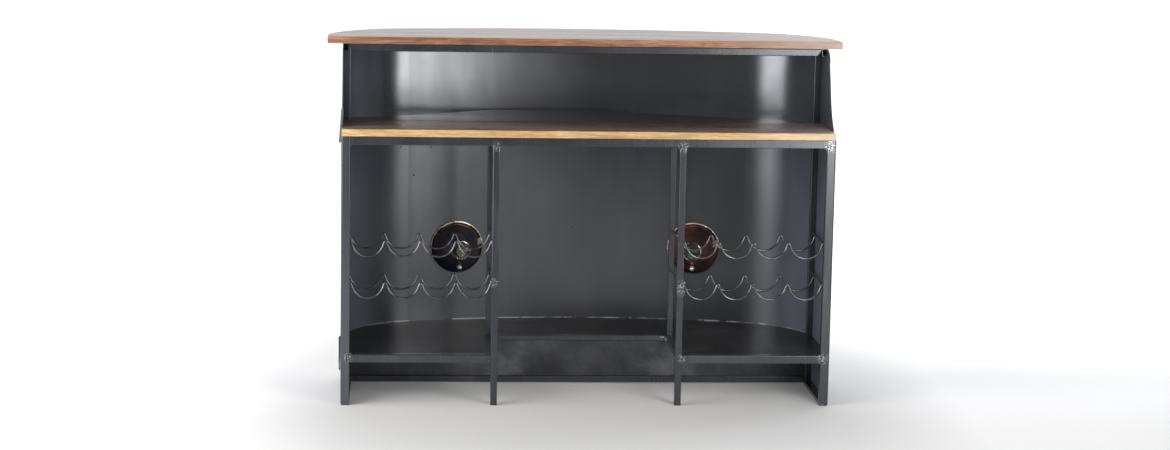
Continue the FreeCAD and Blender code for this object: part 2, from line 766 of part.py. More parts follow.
# Bottle racks
def scallop_curves(pitch):
    """A rack wire's centre line: scallops, straight flanks and a small bend at each peak."""
    peak = size("rack_peak_radius")
    height = size("rack_scallop_height")
    slope = math.radians(size("rack_flank_angle"))
    half = pitch / 2
    both_radii = (half * math.sin(slope) - height * math.cos(slope)) / (1 - math.cos(slope))
    scallop = both_radii - peak
    curves = []

    def bend(crest_x, start, end):
        spots = [point(crest_x + peak * math.sin(angle), peak * (math.cos(angle) - 1))
                 for angle in (start, (start + end) / 2, end)]
        curves.append(Part.Arc(*spots))

    for index in range(SCALLOPS):
        left_crest = index * pitch
        centre = left_crest + half
        bend(left_crest, 0.0 if index == 0 else -slope, slope)
        lefts = point(left_crest + peak * math.sin(slope), peak * (math.cos(slope) - 1))
        rights = point(2 * centre - lefts.x, lefts.y)
        low_left = point(centre - scallop * math.sin(slope),
                         scallop * (1 - math.cos(slope)) - height)
        low_right = point(2 * centre - low_left.x, low_left.y)
        curves.append(segment(lefts, low_left))
        curves.append(Part.Arc(low_left, point(centre, -height), low_right))
        curves.append(segment(low_right, rights))
    bend(SCALLOPS * pitch, -slope, 0.0)
    return curves


def rack_wire(name, pitch, x, y, z):
    """One bent wire of a rack, from its first peak along X."""
    body = new_body(name)
    spine = new_sketch(body, name + "_line", "XZ_Plane")
    draw(spine, scallop_curves(pitch))
    section = new_sketch(body, name + "_section", "YZ_Plane")
    section.addGeometry(Part.Circle(point(0, 0), UP, size("rack_wire_diameter") / 2), False)
    section.addConstraint(Sketcher.Constraint("Coincident", 0, 3, -1, 1))
    number = section.addConstraint(Sketcher.Constraint("Diameter", 0, 1.0))
    section.setExpression("Constraints[%d]" % number, "Sizes.rack_wire_diameter")
    doc.recompute()
    add_pipe(body, section, spine)
    place(body, x, y, z)
    return keep(body, name)


def build_racks():
    """Front wires between the posts, rear wires between rods, at two levels each side."""
    wire = "Sizes.rack_wire_diameter"
    post_face = HALF_BODY + " - Sizes.end_post_size"
    outer_rod = HALF_BODY + " - Sizes.rack_rod_inset"
    inner_rod = PARTITION_OUTER + " - Sizes.rack_rod_overlap"
    rear_start = inner_rod + " + " + wire + " / 2"
    rear_end = outer_rod + " - " + wire + " / 2"
    front_pitch = size("side_bay_width") / SCALLOPS
    rear_run = (half_body - size("rack_rod_inset") - size("rack_wire_diameter")
                - partition_outer + size("rack_rod_overlap"))
    front_y = STAFF_FACE + " + Sizes.partition_post_size / 2"
    rear_y = STAFF_FACE + " + Sizes.rack_rear_depth"
    rods = []
    for level, drop in (("upper", ""), ("lower", " - Sizes.rack_level_step")):
        front_z = "Sizes.rack_upper_height" + drop
        rear_z = front_z + " - Sizes.rack_rear_drop"
        for side, sign in SIDES:
            name = "%s_rack_%s_" % (side, level)
            rack_wire(name + "front_wire", front_pitch,
                      low_end(sign, PARTITION_OUTER, "(" + post_face + ")"), front_y, front_z)
            rack_wire(name + "rear_wire", rear_run / SCALLOPS,
                      low_end(sign, rear_start, "(" + rear_end + ")"), rear_y, rear_z)
            for row, x, post in (("outer", outer_rod, "Sizes.end_post_size"),
                                 ("inner", inner_rod, "Sizes.partition_post_size")):
                bar = rod(name + row + "_rod", wire + " / 2", "Sizes.chord_depth - " + post,
                          FreeCAD.Placement())
                place(bar, x if sign > 0 else "-(" + x + ")", STAFF_FACE + " + " + post, rear_z,
                      CYCLE_TO_Y)
                rods.append(bar)
    group("rack_rods", rods)


# Headlamps: outlines are drawn as radius and height over the skin's face
def bowl_height(radius, lift=0.0):
    """Height of the lamp's parabolic bowl at a radius, below the skin's face."""
    mouth = size("lamp_aperture_radius") - size("lamp_bowl_clearance")
    neck = size("lamp_neck_radius")
    steepness = size("lamp_bowl_depth") / (mouth ** 2 - neck ** 2)
    return steepness * (radius ** 2 - mouth ** 2) + lift


def parabola(lift):
    """The bowl's outline between its neck and its mouth."""
    mouth = size("lamp_aperture_radius") - size("lamp_bowl_clearance")
    neck = size("lamp_neck_radius")
    steepness = size("lamp_bowl_depth") / (mouth ** 2 - neck ** 2)
    knee = steepness * (mouth * neck - mouth ** 2) + lift
    curve = Part.BezierCurve()
    curve.setPoles([point(mouth, bowl_height(mouth, lift)), point((mouth + neck) / 2, knee),
                    point(neck, bowl_height(neck, lift))])
    return curve.toBSpline()


def lamp_reflector(name, at):
    mouth = size("lamp_aperture_radius") - size("lamp_bowl_clearance")
    neck = size("lamp_neck_radius")
    wall = size("lamp_bowl_wall")
    flange = size("lamp_aperture_radius") + size("lamp_flange_width")
    corners = [point(mouth, 0), point(flange, 0), point(flange, wall), point(mouth, wall)]
    curves = [parabola(0.0), parabola(wall),
              segment(point(neck, bowl_height(neck)), point(neck, bowl_height(neck, wall)))]
    curves += [segment(start, end) for start, end in zip(corners, corners[1:])]
    return turned(name, curves, at)


def ball_radius(edge, rise):
    """Radius of the ball whose cap has this edge radius and rise."""
    return (edge ** 2 + rise ** 2) / (2 * rise)


def dome(edge, base, rise):
    """A ball's cap from its edge to the axis, with its centre on the axis."""
    ball = ball_radius(edge, rise)
    circle = Part.Circle(point(0, base + rise - ball), UP, ball)
    return Part.ArcOfCircle(circle, math.atan2(ball - rise, edge), math.pi / 2)


def lens_height(radius):
    """Height of the lens's outer face over its own edge."""
    edge = size("lamp_aperture_radius") + size("lamp_lens_margin")
    rise = size("lamp_lens_crown")
    ball = ball_radius(edge, rise)
    return rise - ball + math.sqrt(ball ** 2 - radius ** 2)


def lamp_lens(name, at):
    edge = size("lamp_aperture_radius") + size("lamp_lens_margin")
    base = size("lamp_bowl_wall")
    wall = size("lamp_lens_wall")
    rise = size("lamp_lens_crown")
    sides = [segment(point(edge - wall, base), point(edge, base)),
             segment(point(edge, base), point(edge, base + wall)),
             segment(point(0, base + rise), point(0, base + wall + rise))]
    faces = [dome(edge, base + wall, rise), dome(edge - wall, base, rise)]
    return turned(name, faces + sides, at)


def lamp_rim(name, at):
    """The bright bezel: a rounded bead that holds the lens against the reflector."""
    outer = size("lamp_rim_radius")
    lip = outer - size("lamp_rim_width")
    wall = size("lamp_rim_wall")
    crest = size("lamp_rim_height")
    lip_z = size("lamp_bowl_wall") + size("lamp_lens_wall") + lens_height(lip)
    middle = outer - size("lamp_rim_width") / 3
    curves = [
        Part.Arc(point(outer, 0), point(middle, crest), point(lip, lip_z + wall)),
        Part.Arc(point(outer - wall, 0), point(middle - wall / 2, crest - wall),
                 point(lip, lip_z)),
        segment(point(outer, 0), point(outer - wall, 0)),
        segment(point(lip, lip_z), point(lip, lip_z + wall)),
    ]
    return turned(name, curves, at)


def lamp_cap(name, at):
    """The bulb holder behind the bowl's neck, with its ring of flat terminals."""
    neck = size("lamp_neck_radius") + size("lamp_cap_flange")
    back = bowl_height(size("lamp_neck_radius"))
    step = back - size("lamp_cap_flange")
    tail = step - size("lamp_cap_length")
    radius = size("lamp_cap_radius")
    cap = turned(name, loop([point(0, back), point(neck, back), point(neck, step),
                             point(radius, step), point(radius, tail), point(0, tail)]), at)
    sketch = new_sketch(cap, name + "_terminal", "XY_Plane")
    sketch.AttachmentOffset = FreeCAD.Placement(point(0, 0, tail), UPRIGHT)
    half = size("lamp_terminal_width") / 2
    near = radius / 2
    far = near + size("lamp_terminal_thickness")
    draw(sketch, loop([point(-half, near), point(half, near), point(half, far),
                       point(-half, far)]))
    blade = add_pad(cap, sketch, "Sizes.lamp_terminal_length", True)
    ring = cap.newObject("PartDesign::PolarPattern", name + "_terminals")
    ring.Originals = [blade]
    ring.Axis = (sketch, ["N_Axis"])
    ring.Angle = 360
    ring.Occurrences = TERMINALS
    cap.Tip = ring
    return cap


def lamp_bulb(name, at):
    """The glass bulb that stands on the holder, inside the bowl."""
    radius = size("lamp_bulb_radius")
    base = bowl_height(size("lamp_neck_radius"))
    shoulder = base + size("lamp_bulb_length") - radius
    corners = [point(0, shoulder + radius), point(0, base), point(radius, base),
               point(radius, shoulder)]
    sides = [segment(start, end) for start, end in zip(corners, corners[1:])]
    return turned(name, [dome(radius, shoulder, radius)] + sides, at)


def pilot_bulb(name, at):
    """The small side bulb's holder, seated on the back of the bowl below its neck."""
    drop = size("pilot_drop")
    seat = bowl_height(drop)
    length = size("pilot_length")
    end = at.multiply(FreeCAD.Placement(point(0, -drop, seat - length), UPRIGHT))
    stem = rod(name + "_stem", "Sizes.pilot_radius", PILOT_STEM, end)
    ball = doc.addObject("Part::Sphere", name + "_ball")
    bind(ball, Radius="Sizes.pilot_radius")
    ball.Placement = end
    mouth = size("lamp_aperture_radius") - size("lamp_bowl_clearance")
    neck = size("lamp_neck_radius")
    corners = [point(mouth, 0), point(0, 0), point(0, bowl_height(neck)),
               point(neck, bowl_height(neck))]
    inside = [segment(start, finish) for start, finish in zip(corners, corners[1:])]
    hollow = turned(name + "_hollow", inside + [parabola(0.0)], at)
    return cut_from(name, joined(name + "_whole", [stem, ball]), hollow)


def build_lamps():
    bulbs = []
    pilots = []
    for side, sign in SIDES:
        at = lamp_place(sign)
        keep(lamp_rim(side + "_lamp_rim", at), side + "_lamp_rim")
        keep(lamp_lens(side + "_lamp_lens", at), side + "_lamp_lens")
        keep(lamp_reflector(side + "_lamp_reflector", at), side + "_lamp_reflector")
        keep(lamp_cap(side + "_lamp_cap", at), side + "_lamp_cap")
        bulbs.append(lamp_bulb(side + "_lamp_bulb", at))
        pilots.append(pilot_bulb(side + "_pilot_bulb", at))
    group("lamp_bulbs", bulbs)
    group("pilot_bulbs", pilots)


# Bumper
def bumper_section():
    """The blade's section, flat in the middle with its edges rolled towards the skin."""
    wall = size("bumper_thickness")
    bend = size("bumper_edge_radius")
    low = -size("bumper_height") / 2
    crown = bumper_bow.crown_point(0, 0).y
    near = crown + wall - bend
    eighth = math.pi / 4
    curves = []
    for face, radius in ((wall, bend), (0.0, bend - wall)):
        curves.append(segment(point(crown + face, low + bend), point(crown + face, -low - bend)))
        for way in (-1, 1):
            level = way * (-low - bend)
            corner = point(near + radius * math.cos(eighth), level + way * radius * math.sin(eighth))
            curves.append(Part.Arc(point(crown + face, level), corner,
                                   point(near, level + way * radius)))
    for way in (-1, 1):
        curves.append(segment(point(near, way * low), point(near, way * (low + wall))))
    return curves


def bolt_places():
    """Where each bumper bolt's head meets the blade, with Z pointing outwards."""
    offset = size("bumper_thickness")
    middle = size("bumper_bottom") + size("bumper_height") / 2
    places = {}
    for side, sign in SIDES:
        slant = sign * math.asin((half_body - size("bracket_end_inset"))
                                 / (bumper_bow.crown_radius + offset))
        outward = point(math.sin(slant), math.cos(slant))
        for level, way in (("lower", -1), ("upper", 1)):
            spot = bumper_bow.crown_point(slant, offset)
            spot.z = middle + way * size("bolt_spacing") / 2
            places[side + "_" + level] = FreeCAD.Placement(
                spot, FreeCAD.Rotation(UP.cross(outward), UP, outward))
    return places


def build_bumper_blade(drills):
    """A rolled section run along half of the bow and mirrored."""
    blade = new_body("bumper_run")
    spine = new_sketch(blade, "bumper_line", "XY_Plane")
    draw(spine, [bumper_bow.crown_arc(0, bumper_bow.turn_x(0), 0),
                 bumper_bow.shoulder_arc(1, rear_of_corner, 0)])
    section = new_sketch(blade, "bumper_section", "YZ_Plane")
    draw(section, bumper_section())
    doc.recompute()
    half = add_pipe(blade, section, spine)
    mirrored = blade.newObject("PartDesign::Mirrored", "bumper_halves")
    mirrored.Originals = [half]
    mirrored.MirrorPlane = (origin_plane(blade, "YZ_Plane"), [""])
    blade.Tip = mirrored
    bind(blade, **{".Placement.Base.z": "Sizes.bumper_bottom + Sizes.bumper_height / 2"})
    keep(cut_from("bumper_blade", blade, drills), "bumper_blade")


def bracket_outline(sign):
    """A channel between the skin and the blade, open towards the skin."""
    middle = sign * (half_body - size("bracket_end_inset"))
    half = size("bracket_width") / 2
    wall = size("bracket_wall")
    left = middle - half
    right = middle + half
    outer = bumper_bow.crown_arc(left, right, 0)
    inner = bumper_bow.crown_arc(left + wall, right - wall, -wall)
    feet = [skin_bow.crown_arc(left, left + wall, skin_wall),
            skin_bow.crown_arc(right - wall, right, skin_wall)]
    legs = []
    for foot, outer_end, inner_end in ((feet[0], left, left + wall),
                                       (feet[1], right, right - wall)):
        for x, curve in ((outer_end, outer), (inner_end, inner)):
            ends = [curve.StartPoint, curve.EndPoint]
            top = min(ends, key=lambda spot: abs(spot.x - x))
            bottoms = [foot.StartPoint, foot.EndPoint]
            legs.append(segment(min(bottoms, key=lambda spot: abs(spot.x - x)), top))
    return [outer, inner] + feet + legs


def build_brackets(drills):
    members = []
    for side, sign in SIDES:
        name = side + "_bracket"
        channel = padded(name + "_channel", bracket_outline(sign), "Sizes.bracket_height",
                         "Sizes.bumper_bottom + (Sizes.bumper_height - Sizes.bracket_height) / 2")
        members.append(cut_from(name, channel, drills))
    group("bumper_brackets", members)


def bumper_bolt(name, at):
    """A round-headed bolt with its hexagonal nut, its head seated on the blade."""
    head = size("bolt_head_radius")
    rise = size("bolt_head_height")
    shank = size("bolt_radius")
    reach = size("bumper_thickness") + size("bracket_wall")
    length = reach + size("bolt_nut_height")
    corners = [point(head, 0), point(shank, 0), point(shank, -length), point(0, -length),
               point(0, rise)]
    sides = [segment(start, end) for start, end in zip(corners, corners[1:])]
    bolt = turned(name, [dome(head, 0, rise)] + sides, at)
    sketch = new_sketch(bolt, name + "_nut", "XY_Plane")
    sketch.AttachmentOffset = FreeCAD.Placement(point(0, 0, -reach), UPRIGHT)
    corners = []
    for index in range(6):
        angle = index * math.pi / 3
        corners.append(point(size("bolt_nut_radius") * math.cos(angle),
                             size("bolt_nut_radius") * math.sin(angle)))
    draw(sketch, loop(corners))
    add_pad(bolt, sketch, "Sizes.bolt_nut_height", True)
    return bolt


def build_bumper():
    over = size("cut_overrun")
    reach = size("bumper_thickness") + size("bracket_wall")
    bolts = []
    drills = []
    for name, at in bolt_places().items():
        bolts.append(bumper_bolt(name + "_bolt", at))
        drills.append(rod(name + "_drill", "Sizes.bolt_radius + Sizes.bolt_clearance",
                          "Sizes.bumper_thickness + Sizes.bracket_wall + 2 * Sizes.cut_overrun",
                          below(at, reach + over)))
    holes = joined("bolt_holes", drills)
    build_bumper_blade(holes)
    build_brackets(holes)
    group("bumper_bolts", bolts)


def check_document():
    """Stops before anything is written if an object failed or a shape is unsound."""
    doc.recompute()
    for thing in doc.Objects:
        if "Invalid" in thing.State or "Error" in thing.State:
            raise RuntimeError(thing.Label + " failed: " + str(thing.State))
    for node in nodes:
        if node.Shape.isNull() or not node.Shape.isValid() or not node.Shape.Solids:
            raise RuntimeError(node.Label + " has no sound shape")


def write_nodes():
    os.makedirs("parts", exist_ok=True)
    for node in nodes:
        node.Shape.exportStep("parts/" + node.Label + ".step")


build_posts()
build_long_rails()
build_top_rail()
build_cross_rails()
build_top_boards()
build_ledge_boards()
build_bow_skin()
build_bow_bar()
build_end_sheets()
build_wing_sheets()
build_shelf_sheets()
build_racks()
build_lamps()
build_bumper()
check_document()
write_nodes()
print("nodes:", len(nodes))
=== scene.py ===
"""Bow-fronted steel bar counter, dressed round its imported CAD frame.

Metres, +Z up. The camera looks at the staff side, which faces -Y; the customers stand on the +Y side.
"""

import math
import random

import bpy
from mathutils import Matrix, Vector


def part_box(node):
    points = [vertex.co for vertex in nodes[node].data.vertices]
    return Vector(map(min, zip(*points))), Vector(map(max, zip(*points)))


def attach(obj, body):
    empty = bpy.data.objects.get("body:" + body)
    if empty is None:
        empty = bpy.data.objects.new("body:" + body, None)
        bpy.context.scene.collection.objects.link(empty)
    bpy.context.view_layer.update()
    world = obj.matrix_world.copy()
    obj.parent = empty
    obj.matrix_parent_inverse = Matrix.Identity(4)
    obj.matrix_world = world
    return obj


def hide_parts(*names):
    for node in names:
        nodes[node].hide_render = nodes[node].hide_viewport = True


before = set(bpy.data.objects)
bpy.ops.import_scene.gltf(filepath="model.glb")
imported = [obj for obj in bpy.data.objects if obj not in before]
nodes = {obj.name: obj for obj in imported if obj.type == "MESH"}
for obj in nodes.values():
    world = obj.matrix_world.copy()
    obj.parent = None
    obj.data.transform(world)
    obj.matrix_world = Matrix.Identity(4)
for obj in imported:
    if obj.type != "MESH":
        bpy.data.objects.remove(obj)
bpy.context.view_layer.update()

# Colour sockets of Blender's Mix node
MIX_FIRST = 6
MIX_SECOND = 7
MIX_RESULT = 2


# Node helpers
class Finish:
    """One material and the few node recipes that its pattern is built from."""

    def __init__(self, name):
        self.material = bpy.data.materials.new(name)
        self.material.use_nodes = True
        self.tree = self.material.node_tree
        self.shader = self.tree.nodes["Principled BSDF"]
        self.place = self.tree.nodes.new("ShaderNodeTexCoord").outputs["Object"]

    def set(self, **values):
        for socket, value in values.items():
            self.shader.inputs[socket.replace("_", " ")].default_value = value

    def join(self, source, target):
        self.tree.links.new(source, target)

    def mapped(self, scale=(1, 1, 1), offset=(0, 0, 0), turn=(0, 0, 0)):
        mapping = self.tree.nodes.new("ShaderNodeMapping")
        mapping.inputs["Location"].default_value = offset
        mapping.inputs["Rotation"].default_value = turn
        mapping.inputs["Scale"].default_value = scale
        self.join(self.place, mapping.inputs["Vector"])
        return mapping.outputs["Vector"]

    def noise(self, size, vector, detail=4, roughness=0.55, distortion=0.0):
        noise = self.tree.nodes.new("ShaderNodeTexNoise")
        noise.inputs["Scale"].default_value = size
        noise.inputs["Detail"].default_value = detail
        noise.inputs["Roughness"].default_value = roughness
        noise.inputs["Distortion"].default_value = distortion
        self.join(vector, noise.inputs["Vector"])
        return noise.outputs["Fac"]

    def cells(self, size, vector):
        cells = self.tree.nodes.new("ShaderNodeTexVoronoi")
        cells.inputs["Scale"].default_value = size
        self.join(vector, cells.inputs["Vector"])
        return cells.outputs["Distance"]

    def ramp(self, value, *stops):
        """A colour for each place along value: stops are (position, colour)."""
        ramp = self.tree.nodes.new("ShaderNodeValToRGB")
        elements = ramp.color_ramp.elements
        while len(elements) < len(stops):
            elements.new(0.5)
        for element, (position, colour) in zip(elements, stops):
            element.position = position
            element.color = (*colour, 1)
        self.join(value, ramp.inputs["Fac"])
        return ramp.outputs["Color"]

    def span(self, value, low, high, new_low=0.0, new_high=1.0):
        """value carried from low..high to new_low..new_high, and held at both ends."""
        span = self.tree.nodes.new("ShaderNodeMapRange")
        span.inputs["From Min"].default_value = low
        span.inputs["From Max"].default_value = high
        span.inputs["To Min"].default_value = new_low
        span.inputs["To Max"].default_value = new_high
        self.join(value, span.inputs["Value"])
        return span.outputs["Result"]

    def blend(self, share, first, second, mode="MIX"):
        """first where share is 0, second where it is 1; a share or colour may be a plain value."""
        mix = self.tree.nodes.new("ShaderNodeMix")
        mix.data_type = "RGBA"
        mix.blend_type = mode
        sockets = (mix.inputs["Factor"], mix.inputs[MIX_FIRST], mix.inputs[MIX_SECOND])
        for socket, value in zip(sockets, (share, first, second)):
            if isinstance(value, bpy.types.NodeSocket):
                self.join(value, socket)
            elif isinstance(value, tuple):
                socket.default_value = (*value, 1)
            else:
                socket.default_value = value
        return mix.outputs[MIX_RESULT]

    def worked(self, how, first, second=0.0):
        """One step of arithmetic; either value may be a plain number."""
        step = self.tree.nodes.new("ShaderNodeMath")
        step.operation = how
        for socket, value in zip(step.inputs, (first, second)):
            if isinstance(value, bpy.types.NodeSocket):
                self.join(value, socket)
            else:
                socket.default_value = value
        return step.outputs["Value"]

    def sum(self, first, second):
        return self.worked("ADD", first, second)

    def less(self, first, second):
        return self.worked("SUBTRACT", first, second)

    def product(self, first, second):
        return self.worked("MULTIPLY", first, second)

    def larger(self, first, second):
        return self.worked("MAXIMUM", first, second)

    def unsigned(self, value):
        return self.worked("ABSOLUTE", value)

    def near(self, point, reach):
        """1 at a point of the counter, fading to 0 at reach from it."""
        distance = self.tree.nodes.new("ShaderNodeVectorMath")
        distance.operation = "DISTANCE"
        self.join(self.place, distance.inputs[0])
        distance.inputs[1].default_value = point
        return self.span(distance.outputs["Value"], reach, reach * 0.4)

    def part_of(self, vector, axis):
        split = self.tree.nodes.new("ShaderNodeSeparateXYZ")
        self.join(vector, split.inputs["Vector"])
        return split.outputs[axis]

    def facing(self, axis, low, high):
        """0 to 1 by how far a face looks along an axis of the counter."""
        geometry = self.tree.nodes.new("ShaderNodeNewGeometry")
        return self.span(self.part_of(geometry.outputs["True Normal"], axis), low, high)

    def bump(self, height, depth, strength):
        """Relief of a depth in metres, laid over the relief that the finish already has."""
        bump = self.tree.nodes.new("ShaderNodeBump")
        bump.inputs["Strength"].default_value = strength
        bump.inputs["Distance"].default_value = depth
        self.join(height, bump.inputs["Height"])
        if self.shader.inputs["Normal"].is_linked:
            self.join(self.shader.inputs["Normal"].links[0].from_socket, bump.inputs["Normal"])
        self.join(bump.outputs["Normal"], self.shader.inputs["Normal"])

    def use(self, socket, value):
        self.join(value, self.shader.inputs[socket])


# Finishes
SHELF_TOP = 0.157


def sheet_steel():
    """Waxed black sheet: cloudy, with faint mill streaks, rougher under the ledge with painted shade
    darkening it there, and dusty at its ends, where a pale bluish painted light is laid on that is less on
    the upper right.

    Where the shelves meet it, its inner face has a broken line of bare metal.
    """
    finish = Finish("waxed_black_sheet")
    clouds = finish.noise(2.2, finish.mapped((1, 1, 0.8)), 3)
    streaks = finish.noise(3, finish.mapped((14, 14, 0.5)), 5, 0.6)
    scuffs = finish.noise(9, finish.mapped((1, 1, 5), turn=(0, 0.5, 0)), 6, 0.7)
    across = finish.part_of(finish.place, "X")
    height = finish.part_of(finish.place, "Z")
    metal = finish.ramp(finish.blend(0.12, clouds, streaks), (0.35, (0.090, 0.094, 0.103)),
                        (0.52, (0.124, 0.129, 0.139)), (0.68, (0.160, 0.164, 0.173)))
    # Painted shade: below the ledge the sheet is painted darker.
    metal = finish.blend(finish.span(height, 0.80, 0.74, 0, 0.52), metal, (0.055, 0.057, 0.062))
    # Dust and painted light: the ends are painted pale blue-grey for the bluish room light they catch, and
    # made less metallic as dust; dust below carries both. The upper right gets less of it as painted shade.
    dust_and_painted_light_at_ends = finish.span(finish.unsigned(across), 0.60, 0.69)
    dust = finish.product(dust_and_painted_light_at_ends, finish.span(clouds, 0.2, 0.6, 0.7, 1.0))
    painted_shade_upper_right = finish.product(finish.span(across, 0.2, 0.6, 0, 0.5), finish.span(height, 0.78, 0.84))
    dust = finish.product(dust, finish.span(painted_shade_upper_right, 0, 1, 1, 0))
    base = finish.blend(dust, metal, (0.155, 0.172, 0.215))
    from_seam = finish.unsigned(finish.less(height, SHELF_TOP))
    broken = finish.span(finish.noise(14, finish.mapped((1, 1, 0.2)), 3), 0.42, 0.55)
    seam = finish.product(finish.span(from_seam, 0.0030, 0.0012), broken)
    seam = finish.product(seam, finish.facing("Y", -0.2, -0.5))
    finish.use("Base Color", finish.blend(seam, base, (0.34, 0.35, 0.37)))
    finish.use("Metallic", finish.span(finish.larger(dust, seam), 0, 1, 0.82, 0.28))
    dull = finish.sum(finish.span(scuffs, 0.5, 0.8, 0, 0.04), finish.span(height, 0.80, 0.74, 0, 0.08))
    finish.use("Roughness", finish.sum(finish.span(clouds, 0.3, 0.7, 0.20, 0.25), dull))
    finish.bump(finish.noise(420, finish.mapped(), 2), 0.0002, 0.2)
    finish.bump(finish.noise(1.7, finish.mapped(), 1), 0.01, 0.2)
    finish.bump(finish.noise(5.5, finish.mapped((1, 1, 0.7)), 2), 0.006, 0.25)
    return finish.material


def shelf_steel():
    """The sheet of the shelves and the skirt: duller, with wipe-marked dust and long scratches."""
    finish = Finish("scuffed_shelf_sheet")
    dust = finish.noise(5, finish.mapped(), 5, 0.6)
    wipes = finish.noise(5, finish.mapped((0.8, 34, 1)), 5, 0.65)
    tone = finish.blend(0.65, dust, wipes)
    base = finish.ramp(tone, (0.38, (0.034, 0.036, 0.042)), (0.52, (0.066, 0.068, 0.076)),
                       (0.64, (0.150, 0.154, 0.166)))
    finish.use("Base Color", base)
    finish.use("Roughness", finish.span(tone, 0.38, 0.62, 0.30, 0.50))
    finish.set(Metallic=0.7)
    finish.bump(finish.noise(420, finish.mapped(), 2), 0.0002, 0.2)
    return finish.material


# Where the tube is burnt and spattered by a weld, and how far
WELD_SPOTS = (
    ((-0.280, -0.305, 0.790), 0.020),
    ((0.281, -0.305, 0.792), 0.022),
    ((0.726, -0.305, 0.800), 0.024),
    ((0.287, -0.305, 0.362), 0.030),
    ((-0.284, -0.305, 0.377), 0.017),
    ((0.722, -0.305, 0.146), 0.020),
    ((-0.722, -0.305, 0.146), 0.016),
    ((0.290, -0.305, 0.146), 0.016),
    ((0.268, 0.005, 0.146), 0.022),
)


def frame_steel():
    """The same steel as tube: darker on the partitions, paler and bluer on the left post as painted light,
    spattered at the welds.
    """
    finish = Finish("waxed_black_tube")
    clouds = finish.noise(7, finish.mapped((1, 1, 0.35)), 4)
    streaks = finish.noise(6, finish.mapped((30, 30, 1.2)), 5, 0.6)
    across = finish.part_of(finish.place, "X")
    tone = finish.blend(0.4, clouds, streaks)
    base = finish.ramp(tone, (0.3, (0.052, 0.056, 0.064)), (0.55, (0.078, 0.082, 0.091)),
                       (0.7, (0.13, 0.135, 0.145)))
    # Painted light: the left post is painted paler and bluer, for the cool light falling on it.
    base = finish.blend(finish.span(across, -0.70, -0.72, 0.0, 0.26), base, (0.20, 0.22, 0.26))
    middle = finish.span(finish.unsigned(across), 0.33, 0.30, 0.0, 0.25)
    base = finish.blend(middle, base, (0.035, 0.037, 0.042))
    spots = 0.0
    for point, reach in WELD_SPOTS:
        spots = finish.larger(finish.near(point, reach), spots)
    speckle = finish.span(finish.noise(190, finish.mapped(), 3, 0.7), 0.48, 0.56)
    burnt = finish.blend(speckle, (0.030, 0.031, 0.035), (0.42, 0.43, 0.46))
    finish.use("Base Color", finish.blend(finish.product(spots, 0.8), base, burnt))
    finish.use("Roughness", finish.span(tone, 0.3, 0.8, 0.20, 0.30))
    finish.set(Metallic=0.7)
    finish.bump(finish.noise(600, finish.mapped(), 2), 0.0003, 0.3)
    return finish.material


def wire_steel():
    """Round rack wire: dark scale with a shine that shows only as a thin line."""
    finish = Finish("dark_drawn_wire")
    clouds = finish.noise(40, finish.mapped(), 4)
    finish.use("Base Color", finish.ramp(clouds, (0.35, (0.060, 0.063, 0.070)), (0.62, (0.165, 0.17, 0.18))))
    finish.use("Roughness", finish.span(clouds, 0.3, 0.7, 0.12, 0.24))
    finish.set(Metallic=0.85)
    finish.bump(finish.noise(500, finish.mapped(), 2), 0.0002, 0.3)
    return finish.material


def weathered_wood(name, offset, edge, upper, shine):
    """Old plank: long grain with knots and dark checks, its upper face in its own colours (greyer on the top
    planks, darker with painted shade on the ledge), and painted paler towards its right end as painted light.

    edge and upper are (dark, middle, light) colours; shine is the (least, most) roughness of the upper face.
    """
    finish = Finish(name)
    coarse = finish.noise(5, finish.mapped((0.6, 7, 9), offset), 5, 0.6, 0.6)
    fine = finish.noise(16, finish.mapped((0.8, 14, 16), offset), 6, 0.65, 0.3)
    fibre = finish.noise(60, finish.mapped((0.5, 12, 12), offset), 4, 0.7)
    grain = finish.blend(0.45, finish.blend(0.5, coarse, fine), fibre)
    on_top = finish.facing("Z", 0.35, 0.8)
    stops = (0.41, 0.49, 0.58)
    base = finish.blend(on_top, finish.ramp(grain, *zip(stops, edge)), finish.ramp(grain, *zip(stops, upper)))
    knots = finish.span(finish.cells(3.1, finish.mapped((1, 2.2, 2.2), offset)), 0.02, 0.12)
    base = finish.blend(knots, finish.blend(1.0, base, (0.32, 0.22, 0.16), "MULTIPLY"), base)
    checks = finish.span(finish.noise(9, finish.mapped((0.35, 16, 16), offset), 3, 0.6, 0.2), 0.66, 0.72)
    base = finish.blend(checks, base, (0.05, 0.035, 0.028))
    # Painted light: towards the right end the wood is painted paler, where the light falls stronger.
    painted_light_right_end = finish.span(finish.part_of(finish.place, "X"), 0.40, 0.78, 0.0, 0.42)
    base = finish.blend(painted_light_right_end, base, (0.80, 0.66, 0.60))
    patches = finish.noise(3.3, finish.mapped((0.8, 1.6, 1.6), offset), 3)
    base = finish.blend(finish.span(patches, 0.35, 0.7, 0.0, 0.5), base, (0.55, 0.5, 0.48), "MULTIPLY")
    finish.use("Base Color", base)
    edge_rough = finish.span(grain, 0.3, 0.7, 0.42, 0.58)
    finish.use("Roughness", finish.blend(on_top, edge_rough, finish.span(grain, 0.42, 0.58, *shine)))
    finish.bump(grain, 0.0016, 0.45)
    finish.bump(coarse, 0.004, 0.6)
    finish.bump(finish.less(1.0, checks), 0.0012, 0.6)
    return finish.material


def chrome():
    """Old chrome of the lamp rims, yellowed and hazy."""
    finish = Finish("aged_chrome")
    haze = finish.noise(30, finish.mapped(), 4)
    finish.use("Base Color", finish.ramp(haze, (0.35, (0.62, 0.58, 0.50)), (0.65, (0.80, 0.77, 0.71))))
    finish.use("Roughness", finish.span(haze, 0.3, 0.75, 0.08, 0.22))
    finish.set(Metallic=1.0)
    return finish.material


